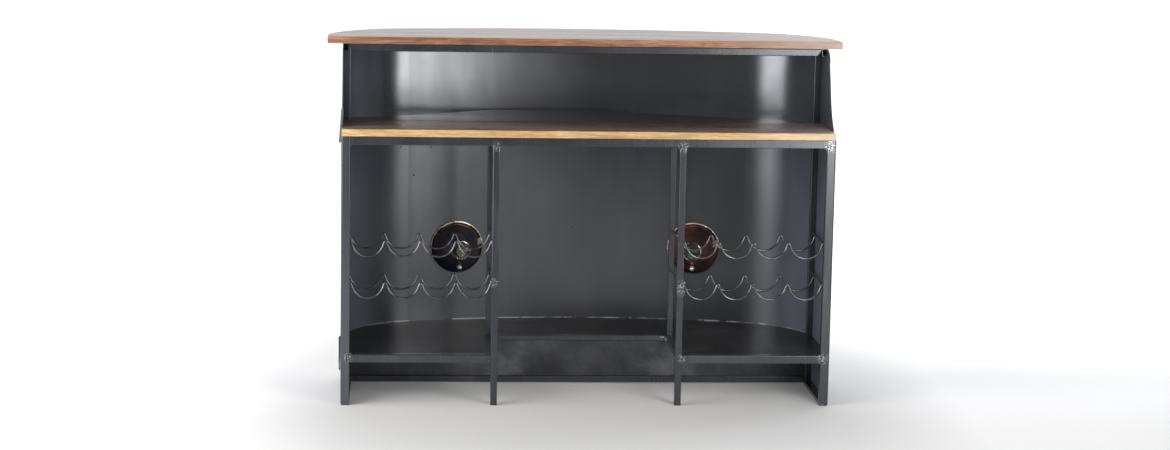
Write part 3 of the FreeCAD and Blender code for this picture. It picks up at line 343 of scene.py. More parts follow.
def lamp_bowl(name, cool, warm):
    """Back of a headlamp bowl: glossy dark lacquer over bronze, warmer on one lamp than on the other."""
    finish = Finish(name)
    clouds = finish.noise(14, finish.mapped(), 4)
    finish.use("Base Color", finish.ramp(clouds, (0.42, cool), (0.62, warm)))
    finish.use("Roughness", finish.span(clouds, 0.3, 0.7, 0.07, 0.16))
    finish.set(Metallic=0.72, Coat_Weight=0.5, Coat_Roughness=0.04)
    finish.bump(finish.noise(60, finish.mapped(), 3), 0.0006, 0.3)
    return finish.material


def holder_metal():
    """The dark tinned cap that carries the lamp's holder."""
    finish = Finish("tinned_lamp_cap")
    clouds = finish.noise(70, finish.mapped(), 4)
    finish.use("Base Color", finish.ramp(clouds, (0.38, (0.030, 0.029, 0.030)), (0.62, (0.17, 0.16, 0.15))))
    finish.use("Roughness", finish.span(clouds, 0.3, 0.7, 0.16, 0.34))
    finish.set(Metallic=0.95)
    finish.bump(finish.noise(160, finish.mapped(), 2), 0.0008, 0.5)
    return finish.material


def pilot_metal():
    """The pale nickel end of the pilot bulb."""
    finish = Finish("nickel_pilot_cap")
    clouds = finish.noise(90, finish.mapped(), 3)
    finish.use("Base Color", finish.ramp(clouds, (0.3, (0.60, 0.56, 0.52)), (0.7, (0.88, 0.85, 0.82))))
    finish.use("Roughness", finish.span(clouds, 0.3, 0.7, 0.15, 0.3))
    finish.set(Metallic=0.7)
    return finish.material


def lamp_glass():
    """Pressed lens glass with upright flutes."""
    finish = Finish("pressed_lamp_glass")
    finish.set(IOR=1.5, Transmission_Weight=1.0)
    flutes = finish.noise(3, finish.mapped((60, 60, 1)), 1)
    finish.use("Base Color", finish.ramp(flutes, (0.3, (0.90, 0.93, 0.93)), (0.7, (0.97, 0.98, 0.98))))
    finish.use("Roughness", finish.span(flutes, 0.3, 0.7, 0.02, 0.07))
    finish.bump(flutes, 0.001, 0.5)
    return finish.material


def edge_brass():
    """Rubbed brass of the lamp's edge and clip."""
    finish = Finish("rubbed_brass")
    clouds = finish.noise(60, finish.mapped(), 4)
    finish.use("Base Color", finish.ramp(clouds, (0.3, (0.55, 0.45, 0.30)), (0.65, (0.95, 0.90, 0.78))))
    finish.use("Roughness", finish.span(clouds, 0.3, 0.7, 0.18, 0.36))
    finish.set(Metallic=0.75)
    return finish.material


def bright_tin():
    """Bright tinned screw heads and crimps of the lamp's holder."""
    finish = Finish("bright_tin")
    clouds = finish.noise(180, finish.mapped(), 3)
    finish.use("Base Color", finish.ramp(clouds, (0.45, (0.05, 0.05, 0.05)), (0.62, (0.50, 0.49, 0.47))))
    finish.use("Roughness", finish.span(clouds, 0.3, 0.7, 0.12, 0.28))
    finish.set(Metallic=0.9)
    return finish.material


def boot_rubber():
    """Dull black rubber."""
    finish = Finish("dull_boot_rubber")
    clouds = finish.noise(50, finish.mapped(), 3)
    finish.use("Base Color", finish.ramp(clouds, (0.3, (0.018, 0.018, 0.020)), (0.7, (0.040, 0.040, 0.042))))
    finish.use("Roughness", finish.span(clouds, 0.3, 0.7, 0.45, 0.65))
    finish.bump(finish.noise(400, finish.mapped(), 2), 0.0003, 0.4)
    return finish.material


def bulb_glass():
    """Lightly frosted bulb glass."""
    finish = Finish("bulb_glass")
    frost = finish.noise(80, finish.mapped(), 3)
    finish.use("Base Color", finish.ramp(frost, (0.3, (0.80, 0.78, 0.72)), (0.7, (0.92, 0.91, 0.88))))
    finish.use("Roughness", finish.span(frost, 0.3, 0.7, 0.05, 0.2))
    finish.set(Transmission_Weight=0.5)
    return finish.material


def bumper_steel():
    """Old bumper chrome: bright, a little clouded, with fine upright wipe marks."""
    finish = Finish("clouded_bumper_chrome")
    clouds = finish.noise(5, finish.mapped(), 4)
    wipes = finish.noise(14, finish.mapped((0.6, 0.6, 6)), 5, 0.7)
    finish.use("Base Color", finish.ramp(clouds, (0.3, (0.62, 0.62, 0.62)), (0.7, (0.84, 0.83, 0.81))))
    smears = finish.span(wipes, 0.5, 0.8, 0, 0.15)
    finish.use("Roughness", finish.sum(finish.span(clouds, 0.3, 0.7, 0.10, 0.18), smears))
    finish.set(Metallic=0.4)
    finish.bump(finish.noise(300, finish.mapped(), 2), 0.0003, 0.15)
    return finish.material


def bolt_steel():
    """Zinc of the bumper bolts, gone grey."""
    finish = Finish("zinc_bolt")
    clouds = finish.noise(120, finish.mapped(), 3)
    finish.use("Base Color", finish.ramp(clouds, (0.3, (0.25, 0.25, 0.26)), (0.7, (0.45, 0.45, 0.44))))
    finish.use("Roughness", finish.span(clouds, 0.3, 0.7, 0.3, 0.45))
    finish.set(Metallic=0.95)
    return finish.material


def weld_metal():
    """Weld metal: dark scale, rubbed bright in places."""
    finish = Finish("weld_bead_metal")
    clouds = finish.noise(160, finish.mapped(), 3)
    finish.use("Base Color", finish.ramp(clouds, (0.35, (0.05, 0.052, 0.058)), (0.65, (0.34, 0.35, 0.38))))
    finish.use("Roughness", finish.span(clouds, 0.3, 0.7, 0.25, 0.45))
    finish.set(Metallic=0.9)
    finish.bump(clouds, 0.0006, 0.4)
    return finish.material


# Wood colours, each dark, middle and light
REDDISH = ((0.115, 0.046, 0.023), (0.222, 0.092, 0.044), (0.414, 0.204, 0.112))
GREYED = ((0.066, 0.046, 0.036), (0.224, 0.163, 0.134), (0.482, 0.386, 0.336))
GOLDEN = ((0.301, 0.168, 0.061), (0.488, 0.303, 0.119), (0.676, 0.470, 0.225))
# Upper faces of the ledge planks: the middle and rear ones are painted darker in turn than the front one,
# painted shade deeper under the top.
LEDGE_TOP_FRONT = ((0.066, 0.047, 0.036), (0.162, 0.122, 0.096), (0.336, 0.264, 0.216))
LEDGE_TOP_MIDDLE_SHADE = ((0.034, 0.027, 0.023), (0.075, 0.060, 0.050), (0.135, 0.110, 0.094))
LEDGE_TOP_REAR_SHADE = ((0.024, 0.020, 0.018), (0.050, 0.042, 0.036), (0.090, 0.076, 0.066))
# Each plank's place in the grain, its edge, its upper face and that face's least and most roughness
PLANK_LOOKS = {
    "top_staff_plank": ((0.0, 0.31, 0.17), REDDISH, GREYED, (0.30, 0.46)),
    "top_middle_plank": ((3.7, 1.13, 0.71), REDDISH, GREYED, (0.32, 0.48)),
    "top_front_plank": ((7.9, 2.57, 1.29), REDDISH, GREYED, (0.34, 0.50)),
    "ledge_front_plank": ((1.9, 3.37, 2.11), GOLDEN, LEDGE_TOP_FRONT, (0.24, 0.40)),
    "ledge_middle_plank": ((5.3, 4.19, 3.01), GOLDEN, LEDGE_TOP_MIDDLE_SHADE, (0.13, 0.22)),
    "ledge_rear_plank": ((9.1, 5.23, 4.07), GOLDEN, LEDGE_TOP_REAR_SHADE, (0.14, 0.24)),
}
PLANK_ROUNDING = 0.0016


# Shaping helpers
MERGE_DISTANCE = 0.00001


def deselect_all():
    bpy.ops.object.select_all(action="DESELECT")


def only(obj):
    deselect_all()
    obj.select_set(True)
    bpy.context.view_layer.objects.active = obj


def dressed(obj, material):
    """Gives a new piece its finish and lets it ride on the counter."""
    obj.data.materials.clear()
    obj.data.materials.append(material)
    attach(obj, "root")
    return obj


def settle(obj):
    """Puts the piece's place into its mesh, so that its object sits at the origin."""
    only(obj)
    bpy.ops.object.transform_apply(location=True, rotation=True, scale=True)
    return obj


def smooth_below(obj, degrees):
    """Smooth shading, broken at edges sharper than an angle."""
    only(obj)
    bpy.ops.object.shade_smooth_by_angle(angle=math.radians(degrees))


def rounded(obj, width, segments):
    """Bevels the piece's edges."""
    bevel = obj.modifiers.new("rounding", "BEVEL")
    bevel.width = width
    bevel.segments = segments
    bevel.limit_method = "ANGLE"
    bevel.angle_limit = math.radians(30)
    apply_modifiers(obj)


def apply_modifiers(obj):
    only(obj)
    for modifier in list(obj.modifiers):
        bpy.ops.object.modifier_apply(modifier=modifier.name)


def copy_of(obj, name):
    """A copy with its own mesh."""
    twin = obj.copy()
    twin.data = obj.data.copy()
    twin.name = twin.data.name = name
    bpy.context.scene.collection.objects.link(twin)
    return twin


# Planks
def worn_plank(node):
    """The plank with its triangles merged, its flats made whole and its edges rounded by years of use."""
    plank = copy_of(nodes[node], "worn_" + node)
    plank.parent = None
    for key in list(plank.keys()):
        del plank[key]
    only(plank)
    bpy.ops.object.mode_set(mode="EDIT")
    bpy.ops.mesh.select_all(action="SELECT")
    bpy.ops.mesh.remove_doubles(threshold=MERGE_DISTANCE)
    bpy.ops.mesh.dissolve_limited(angle_limit=math.radians(0.5))
    bpy.ops.object.mode_set(mode="OBJECT")
    rounded(plank, PLANK_ROUNDING, 3)
    smooth_below(plank, 35)
    dressed(plank, weathered_wood("old_plank_" + node, *PLANK_LOOKS[node]))
    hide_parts(node)


def joined(parts, name):
    """Joins the parts into one piece."""
    deselect_all()
    for part in parts:
        part.select_set(True)
    bpy.context.view_layer.objects.active = parts[0]
    bpy.ops.object.join()
    parts[0].name = parts[0].data.name = name
    return parts[0]


def select_faces(obj, chosen):
    """Selects the faces for which chosen(face) is true and goes into edit mode."""
    bpy.ops.object.mode_set(mode="EDIT")
    bpy.ops.mesh.select_mode(type="FACE")
    bpy.ops.mesh.select_all(action="DESELECT")
    bpy.ops.object.mode_set(mode="OBJECT")
    for face in obj.data.polygons:
        face.select = chosen(face)
    bpy.ops.object.mode_set(mode="EDIT")


def select_edges(obj, chosen):
    """Selects the edges whose two ends lie where chosen(place) is true and goes into edit mode."""
    bpy.ops.object.mode_set(mode="EDIT")
    bpy.ops.mesh.select_mode(type="EDGE")
    bpy.ops.mesh.select_all(action="DESELECT")
    bpy.ops.object.mode_set(mode="OBJECT")
    for edge in obj.data.edges:
        edge.select = all(chosen(obj.data.vertices[index].co) for index in edge.vertices)
    bpy.ops.object.mode_set(mode="EDIT")


def turned_ring(name, radius, height, width, thickness, start=0.0, sweep=360.0, steps=48, sides=8):
    """A ring about Z: an oval section set off to its radius and spun; an open ring's ends close to points."""
    deselect_all()
    bpy.ops.mesh.primitive_circle_add(vertices=sides, radius=0.5, rotation=(math.pi / 2, 0, 0))
    ring = bpy.context.active_object
    ring.name = ring.data.name = name
    ring.location = (radius, 0, height)
    ring.scale = (width, thickness, 1)
    settle(ring)
    ring.rotation_euler = (0, 0, math.radians(start))
    settle(ring)
    bpy.ops.object.mode_set(mode="EDIT")
    bpy.ops.mesh.select_all(action="SELECT")
    bpy.ops.mesh.spin(steps=steps, angle=math.radians(-sweep), center=(0, 0, 0), axis=(0, 0, 1))
    bpy.ops.mesh.select_all(action="SELECT")
    bpy.ops.mesh.remove_doubles(threshold=MERGE_DISTANCE)
    if sweep < 360:
        close_ends()
    bpy.ops.mesh.select_all(action="SELECT")
    bpy.ops.mesh.normals_make_consistent(inside=False)
    bpy.ops.object.mode_set(mode="OBJECT")
    bpy.ops.object.shade_smooth()
    return ring


def close_ends():
    """Draws each open end of the tube in edit mode together into a point."""
    bpy.ops.mesh.select_mode(type="EDGE")
    bpy.ops.mesh.select_all(action="DESELECT")
    bpy.ops.mesh.select_non_manifold()
    bpy.ops.mesh.edge_collapse()


# Studio
CAMERA_PLACE = (-0.5834, -7.8456, 1.7481)
CAMERA_YAW = 0.0756
CAMERA_PITCH = 0.1565
CAMERA_ROLL = 0.0185
FOCAL_PIXELS = 2550.2
PHOTO_PIXELS = 1170
SENSOR_MM = 36


def camera():
    """The photograph's camera, fitted to the counter's corners."""
    level = Vector((math.cos(CAMERA_YAW), -math.sin(CAMERA_YAW), 0))
    ahead = math.cos(CAMERA_PITCH) * Vector((math.sin(CAMERA_YAW), math.cos(CAMERA_YAW), 0))
    ahead.z = -math.sin(CAMERA_PITCH)
    above = level.cross(ahead)
    right = math.cos(CAMERA_ROLL) * level + math.sin(CAMERA_ROLL) * above
    up = -math.sin(CAMERA_ROLL) * level + math.cos(CAMERA_ROLL) * above
    lens = bpy.data.cameras.new("staff_side_camera")
    lens.sensor_fit = "HORIZONTAL"
    lens.sensor_width = SENSOR_MM
    lens.lens = FOCAL_PIXELS / PHOTO_PIXELS * SENSOR_MM
    lens.clip_start = 0.05
    lens.clip_end = 100
    obj = bpy.data.objects.new("staff_side_camera", lens)
    bpy.context.scene.collection.objects.link(obj)
    obj.matrix_world = Matrix.Translation(CAMERA_PLACE) @ Matrix((right, up, -ahead)).transposed().to_4x4()
    bpy.context.scene.camera = obj


# How a diffuser's light rises and falls from one edge to the other: (position, share)
SOFT_EDGES = ((0, 0), (0.24, 1), (0.76, 1), (1, 0))
RIGHT_ACROSS = ((0, 0), (0.1, 0.02), (0.3, 0.03), (0.46, 0.08), (0.52, 0.25), (0.55, 1), (0.93, 1), (1, 0))
RIGHT_UPRIGHT = ((0, 0), (0.3, 1), (0.8, 1), (1, 0))
LEFT_ACROSS = ((0, 0.3), (0.27, 1), (0.84, 1), (0.91, 0.3), (1, 0))
LEFT_UPRIGHT = ((0, 0), (0.2, 1), (0.8, 1), (1, 0))
# Watts for a square metre of diffuser that shows as white
WHITE_WATTS = 4
# Name, place, aim, width, height, brightness and, where they differ, the shares of light and the colour
SOFTBOXES = (
    ("overhead_softbox", (0.3, 1.4, 3.8), (0, 0.1, 0.5), 4, 2.6, 1.5),
    ("right_softbox", (0.905, -2.86, 1.17), (-0.27, -1.24, 1.17), 2.53, 2.3, 7.0,
     RIGHT_ACROSS, RIGHT_UPRIGHT, (1.03, 1, 0.94)),
    ("left_softbox", (-2.865, -1.066, 1.17), (0.135, 0.894, 1.17), 4.5, 2.3, 5.8,
     LEFT_ACROSS, LEFT_UPRIGHT, (1.02, 1, 0.96)),
    ("rear_softbox", (0, 5.0, 2.7), (0, 0, 2.4), 11, 5, 1.2),
    ("right_reflector", (3.2, 1.9, 1.1), (0, 1.2, 0.2), 2.8, 2.1, 4.0),
)
FLOOR_WIDTH = 90
ROOM_COLOUR = (0.88, 0.95, 1.08, 1)
ROOM_STRENGTH = 0.18


def softbox(name, place, aim, width, height, brightness,
            across=SOFT_EDGES, upright=SOFT_EDGES, colour=(1, 1, 1)):
    """A rectangular diffuser that no camera sees; brightness 1 would show as white.

    across and upright give its share of light from its left edge to its right and from bottom to top.
    """
    light = bpy.data.lights.new(name, "AREA")
    light.shape = "RECTANGLE"
    light.size = width
    light.size_y = height
    light.energy = WHITE_WATTS * width * height * brightness
    light.color = colour
    light.use_nodes = True
    tree = light.node_tree
    spot = tree.nodes.new("ShaderNodeNewGeometry")
    split = tree.nodes.new("ShaderNodeSeparateXYZ")
    tree.links.new(spot.outputs["Parametric"], split.inputs["Vector"])
    both = tree.nodes.new("ShaderNodeMath")
    both.operation = "MULTIPLY"
    for socket, axis, stops in ((0, "X", across), (1, "Y", upright)):
        fade = tree.nodes.new("ShaderNodeValToRGB")
        elements = fade.color_ramp.elements
        while len(elements) < len(stops):
            elements.new(0.5)
        for element, (position, share) in zip(elements, stops):
            element.position = position
            element.color = (share, share, share, 1)
        tree.links.new(split.outputs[axis], fade.inputs["Fac"])
        tree.links.new(fade.outputs["Color"], both.inputs[socket])
    tree.links.new(both.outputs["Value"], tree.nodes["Emission"].inputs["Strength"])
    obj = bpy.data.objects.new(name, light)
    bpy.context.scene.collection.objects.link(obj)
    obj.location = place
    obj.rotation_euler = (Vector(aim) - Vector(place)).to_track_quat("-Z", "Y").to_euler()
    obj.visible_camera = False


def floor_finish():
    """Pale floor paint that glows white from the counter's rear edge backwards, and glows a little beside and
    under the counter as painted light.
    """
    finish = Finish("pale_studio_floor")
    clouds = finish.noise(0.8, finish.mapped(), 3)
    finish.use("Base Color", finish.ramp(clouds, (0.3, (0.63, 0.63, 0.64)), (0.7, (0.66, 0.66, 0.67))))
    finish.set(Roughness=0.8, Specular_IOR_Level=0.2, Emission_Color=(1, 1, 1, 1))
    depth = finish.part_of(finish.place, "Y")
    aside = finish.unsigned(finish.part_of(finish.place, "X"))
    behind = finish.sum(finish.span(depth, 0.1, 2.0, 0.0, 0.78), finish.span(depth, 2.0, 5.0, 0.0, 0.17))
    # Painted light: a faint glow under the counter and beside it lightens the floor's shade there.
    under = finish.product(finish.span(aside, 0.9, 0.6), finish.span(depth, -0.75, -0.2))
    under = finish.product(under, finish.span(depth, 0.4, 0.25, 0.0, 0.08))
    beside = finish.product(finish.span(aside, 0.75, 1.15), finish.span(depth, -1.6, -0.2, 0.0, 0.30))
    finish.use("Emission Strength", finish.sum(behind, finish.sum(under, beside)))
    return finish.material


def studio():
    """A wide pale floor, lit white behind the counter, and soft boxes above, behind and beside it."""
    bpy.ops.mesh.primitive_plane_add(size=FLOOR_WIDTH)
    floor = bpy.context.active_object
    floor.name = "studio_floor"
    bpy.ops.object.mode_set(mode="EDIT")
    bpy.ops.mesh.select_all(action="SELECT")
    bpy.ops.mesh.subdivide(number_cuts=7)
    bpy.ops.object.mode_set(mode="OBJECT")
    floor.data.materials.append(floor_finish())
    world = bpy.data.worlds.new("bright_room")
    bpy.context.scene.world = world
    world.use_nodes = True
    room = world.node_tree.nodes["Background"]
    room.inputs["Color"].default_value = ROOM_COLOUR
    room.inputs["Strength"].default_value = ROOM_STRENGTH
    for box in SOFTBOXES:
        softbox(*box)
    bpy.context.scene.view_settings.view_transform = "Standard"


# The counter
UPRIGHT_SHEETS = ("bow_skin", "end_sheet", "wing_sheet")
DULL_SHEETS = ("bow_shelf_sheet", "shelf_sheet", "skirt_sheet")


def finish_nodes():
    """Gives every CAD node that stays on show its finish."""
    steel, sheet, shelf, wire = frame_steel(), sheet_steel(), shelf_steel(), wire_steel()
    for name, node in nodes.items():
        short = name.replace("left_", "").replace("right_", "")
        if short in UPRIGHT_SHEETS:
            material = sheet
        elif short in DULL_SHEETS:
            material = shelf
        elif short.startswith("rack_"):
            material = wire
        else:
            material = steel
        node.data.materials.clear()
        node.data.materials.append(material)
    special = {
        "left_lamp_rim": chrome(),
        "left_lamp_lens": lamp_glass(),
        "left_lamp_reflector": lamp_bowl("dark_bronze_bowl", (0.060, 0.075, 0.115), (0.150, 0.110, 0.100)),
        "right_lamp_reflector": lamp_bowl("maroon_bowl", (0.080, 0.055, 0.060), (0.290, 0.115, 0.095)),
        "left_lamp_cap": holder_metal(),
        "lamp_bulbs": bulb_glass(),
        "pilot_bulbs": pilot_metal(),
        "bumper_blade": bumper_steel(),
        "bumper_bolts": bolt_steel(),
    }
    for left, right in (("left_lamp_rim", "right_lamp_rim"), ("left_lamp_lens", "right_lamp_lens"),
                        ("left_lamp_cap", "right_lamp_cap"), ("bumper_blade", "bumper_brackets")):
        special[right] = special[left]
    for name, material in special.items():
        nodes[name].data.materials.clear()
        nodes[name].data.materials.append(material)


# Lamp fittings, measured as in the part's source
LAMP_ASIDE = 0.384
LAMP_HEIGHT = 0.393
SKIN_RADIUS = 2.042
SKIN_CENTRE_Y = 0.290 - SKIN_RADIUS
BOWL_MOUTH = 0.082
BOWL_NECK = 0.027
BOWL_DEPTH = 0.068
COLLAR_DEPTH = 0.008
FLANGE_DEPTH = 0.004
CAP_LENGTH = 0.020
CAP_END = -BOWL_DEPTH - FLANGE_DEPTH - CAP_LENGTH
CLIP_LENGTH = 0.020
CLIP_WALL = 0.0008
CLIP_STEPS = 4
CROWN_TEETH = 20
TOOTH_LENGTH = 0.0032
BOOT_RIBS = 3
RIB_PITCH = 0.0048
SCREW_RADIUS = 0.0036
SCREW_DEPTH = 0.0026
SCREW_CIRCLE = 0.0125
SCREW_COUNT = 3


def lamp_place(sign):
    """A lamp's own place, as in the part's source: Z along its axis towards the customers, Y up."""
    turn = sign * math.asin(LAMP_ASIDE / SKIN_RADIUS)
    outward = Vector((math.sin(turn), math.cos(turn), 0))
    above = Vector((0, 0, 1))
    place = Vector((0, SKIN_CENTRE_Y, LAMP_HEIGHT)) + SKIN_RADIUS * outward
    return Matrix.Translation(place) @ Matrix((above.cross(outward), above, outward)).transposed().to_4x4()


def bowl_height(radius):
    """Height of the bowl's back at a radius, below the skin's outer face."""
    return BOWL_DEPTH * (radius ** 2 - BOWL_MOUTH ** 2) / (BOWL_MOUTH ** 2 - BOWL_NECK ** 2)


def edge_crescent():
    """The bright edge over the bowl, thicker at its crown, where the bezel catches the light."""
    thin = turned_ring("edge", radius=BOWL_MOUTH + 0.0022, height=-COLLAR_DEPTH - 0.0006,
                       width=0.0017, thickness=0.0014, start=-8, sweep=190, steps=56)
    thick = turned_ring("crescent", radius=BOWL_MOUTH + 0.0005, height=-COLLAR_DEPTH - 0.0012,
                        width=0.0052, thickness=0.0034, start=52, sweep=72, steps=24)
    return joined([thin, thick], "lamp_edge")


def bowl_clip():
    """A bent brass strip that grips the bowl's side."""
    near = BOWL_MOUTH - 0.003
    far = BOWL_MOUTH - 0.018
    deselect_all()
    bpy.ops.mesh.primitive_plane_add(size=1)
    clip = bpy.context.active_object
    clip.name = clip.data.name = "bowl_clip"
    clip.scale = (0.001, CLIP_LENGTH, 1)
    clip.location = (-near, 0.020, bowl_height(near) - 0.0015)
    settle(clip)
    select_edges(clip, lambda place: place.x > -near)
    radii = [near + (far - near) * step / CLIP_STEPS for step in range(CLIP_STEPS + 1)]
    for before, radius in zip(radii, radii[1:]):
        step = (before - radius, 0, bowl_height(radius) - bowl_height(before))
        bpy.ops.mesh.extrude_region_move(TRANSFORM_OT_translate={"value": step})
    bpy.ops.object.mode_set(mode="OBJECT")
    wall = clip.modifiers.new("wall", "SOLIDIFY")
    wall.thickness = CLIP_WALL
    apply_modifiers(clip)
    smooth_below(clip, 40)
    return clip


def crimp_crown():
    """The crimped ring on the holder's flange: a flat ring with teeth bent up from it."""
    ring = turned_ring("crimp_crown", radius=BOWL_NECK + 0.0005, height=-BOWL_DEPTH - 0.0048,
                       width=0.0058, thickness=0.0016, steps=CROWN_TEETH * 2, sides=4)
    select_faces(ring, lambda face: face.normal.z < -0.3
                 and int(math.atan2(face.center.y, face.center.x) / math.pi * CROWN_TEETH + CROWN_TEETH) % 2)
    bpy.ops.mesh.extrude_region_move(TRANSFORM_OT_translate={"value": (0, 0, -TOOTH_LENGTH)})
    bpy.ops.object.mode_set(mode="OBJECT")
    smooth_below(ring, 30)
    return ring


def holder_boot():
    """Ribs of rubber round the holder."""
    ribs = []
    for row in range(BOOT_RIBS):
        height = -BOWL_DEPTH - 0.007 - RIB_PITCH * row
        ribs.append(turned_ring("rib", radius=0.0195, height=height,
                                width=0.0046, thickness=0.0044, steps=32))
    return joined(ribs, "holder_boot")


def terminal_screws():
    """Raised screw heads on the holder's end, between its flat terminals."""
    middle = CAP_END - SCREW_DEPTH / 2
    deselect_all()
    bpy.ops.mesh.primitive_cylinder_add(vertices=20, radius=SCREW_RADIUS, depth=SCREW_DEPTH,
                                        location=(0, 0, middle))
    screw = bpy.context.active_object
    select_faces(screw, lambda face: face.normal.z < -0.9)
    bpy.ops.mesh.inset(thickness=0.0012)
    bpy.ops.mesh.extrude_region_move(TRANSFORM_OT_translate={"value": (0, 0, 0.0010)})
    bpy.ops.object.mode_set(mode="OBJECT")
    rounded(screw, 0.0004, 2)
    smooth_below(screw, 35)
    screws = [screw]
    for index in range(1, SCREW_COUNT):
        screws.append(copy_of(screw, "screw_%d" % (index + 1)))
    for index, head in enumerate(screws):
        angle = math.radians(30 + 360 / SCREW_COUNT * index)
        head.location = (SCREW_CIRCLE * math.cos(angle), SCREW_CIRCLE * math.sin(angle), middle)
        settle(head)
    return joined(screws, "terminal_screws")


def lamp_fittings():
    """Makes each fitting once, in the lamp's own place, and sets a copy on either lamp."""
    brass = edge_brass()
    tin = bright_tin()
    fittings = (
        (edge_crescent(), brass, "lamp_chrome"),
        (bowl_clip(), brass, "lamp_chrome"),
        (crimp_crown(), tin, "lamp_holder"),
        (holder_boot(), boot_rubber(), "lamp_holder"),
        (terminal_screws(), tin, "lamp_holder"),
    )
    for piece, material, slot in fittings:
        twin = copy_of(piece, "right_" + piece.name)
        piece.name = piece.data.name = "left_" + piece.name
        for fitting, sign in ((piece, -1), (twin, 1)):
            fitting.matrix_world = lamp_place(sign)
            settle(fitting)
            dressed(fitting, material)


# Welds, tacks and studs
# A bead's drops: their spacing and wobble as shares of its width, and its mesh cells across
DROP_SPACING = 0.5
DROP_WOBBLE = 0.12
CELLS_ACROSS = 9


def weld_drop(name, place, size):
    """One solidified drop of weld metal: a lumpy, flattened ball."""
    deselect_all()
    bpy.ops.mesh.primitive_ico_sphere_add(subdivisions=2, radius=0.5)
    drop = bpy.context.active_object
    drop.name = drop.data.name = name
    drop.scale = size
    drop.location = place
    return settle(drop)


def weld_bead(name, start, end, width, seed):
    """A run of overlapping drops, melted into one ripple bead."""
    start = Vector(start)
    end = Vector(end)
    count = max(3, round((end - start).length / (width * DROP_SPACING)) + 1)
    chance = random.Random(seed)
    drops = []
    for index in range(count):
        wobble = Vector([chance.uniform(-DROP_WOBBLE, DROP_WOBBLE) * width for axis in range(3)])
        size = [width * chance.uniform(0.85, 1.2) for axis in range(3)]
        drops.append(weld_drop("drop", start.lerp(end, index / (count - 1)) + wobble, size))
    bead = joined(drops, name)
    melt = bead.modifiers.new("melt", "REMESH")
    melt.mode = "VOXEL"
    melt.voxel_size = width / CELLS_ACROSS
    melt.use_smooth_shade = True
    apply_modifiers(bead)
    return bead


# Name, start, end and width of each bead
BEADS = (
    ("left_partition_head_weld", (-0.2685, -0.296, 0.7880), (-0.2685, -0.286, 0.7880), 0.0065),
    ("left_partition_outer_weld", (-0.2915, -0.296, 0.7885), (-0.2915, -0.288, 0.7885), 0.0050),
    ("right_partition_head_weld", (0.2680, -0.297, 0.7880), (0.2680, -0.286, 0.7880), 0.0070),
    ("right_partition_outer_weld", (0.2920, -0.298, 0.7870), (0.2920, -0.288, 0.7890), 0.0060),
    ("left_end_post_head_weld", (-0.7135, -0.300, 0.7885), (-0.7135, -0.288, 0.7885), 0.0055),
    ("right_end_post_head_weld", (0.7130, -0.300, 0.7880), (0.7130, -0.288, 0.7880), 0.0070),
    ("left_rack_post_weld", (-0.2915, -0.2985, 0.3730), (-0.2915, -0.2985, 0.3800), 0.0070),
    ("left_rack_upper_weld", (-0.2915, -0.2970, 0.4970), (-0.2915, -0.2970, 0.5020), 0.0050),
    ("right_rack_post_lump", (0.2900, -0.2980, 0.3450), (0.2905, -0.2978, 0.3800), 0.0120),
    ("right_rack_upper_weld", (0.2915, -0.2970, 0.4960), (0.2915, -0.2970, 0.5030), 0.0060),
    ("left_shelf_rail_weld", (-0.7125, -0.3000, 0.1575), (-0.7125, -0.2880, 0.1575), 0.0060),
    ("right_shelf_rail_weld", (0.7120, -0.3006, 0.1320), (0.7120, -0.3006, 0.1560), 0.0065),
    ("left_shelf_inner_weld", (-0.2920, -0.2990, 0.1340), (-0.2920, -0.2990, 0.1540), 0.0050),
    ("right_shelf_inner_weld", (0.2920, -0.2990, 0.1340), (0.2920, -0.2990, 0.1540), 0.0055),
    ("right_corner_lump", (0.7060, -0.2990, 0.7960), (0.7340, -0.2990, 0.8110), 0.0072),
    ("right_corner_hook", (0.7340, -0.3010, 0.8110), (0.7430, -0.3010, 0.8060), 0.0040),
    ("right_chord_lump", (0.2580, 0.0045, 0.1480), (0.2740, 0.0045, 0.1500), 0.0075),
    ("right_chord_weld", (0.2740, 0.0045, 0.1380), (0.2740, 0.0045, 0.1450), 0.0065),
    ("left_chord_weld", (-0.2740, 0.0040, 0.1420), (-0.2740, 0.0040, 0.1520), 0.0060),
)
# Along the counter, where the shelves are tacked to the skin
TACK_PLACES = (-0.174, -0.132, -0.034, 0.006, 0.146, 0.185, 0.233, 0.420, 0.496, 0.593,
               -0.402, -0.505, -0.586)
TACK_HEIGHT = 0.1575
TACK_SIZE = (0.007, 0.005, 0.006)
# Along and up, where studs end in the skin
STUD_PLACES = ((-0.564, 0.720), (-0.468, 0.718), (-0.522, 0.629), (0.066, 0.532), (-0.009, 0.454))
STUD_SIZE = (0.006, 0.003, 0.006)
SKIN_WALL = 0.002
CROWN_HALF = 0.540
SHOULDER_RADIUS = 0.270


def skin_depth(x):
    """How far back the skin's inner face lies at x: the crown's arc, then its tighter shoulders."""
    inner = SKIN_RADIUS - SKIN_WALL
    if abs(x) <= CROWN_HALF:
        return SKIN_CENTRE_Y + math.sqrt(inner ** 2 - x ** 2)
    turn = math.asin(CROWN_HALF / inner)
    centre_x = (inner - SHOULDER_RADIUS) * math.sin(turn)
    centre_y = SKIN_CENTRE_Y + (inner - SHOULDER_RADIUS) * math.cos(turn)
    return centre_y + math.sqrt(SHOULDER_RADIUS ** 2 - (abs(x) - centre_x) ** 2)


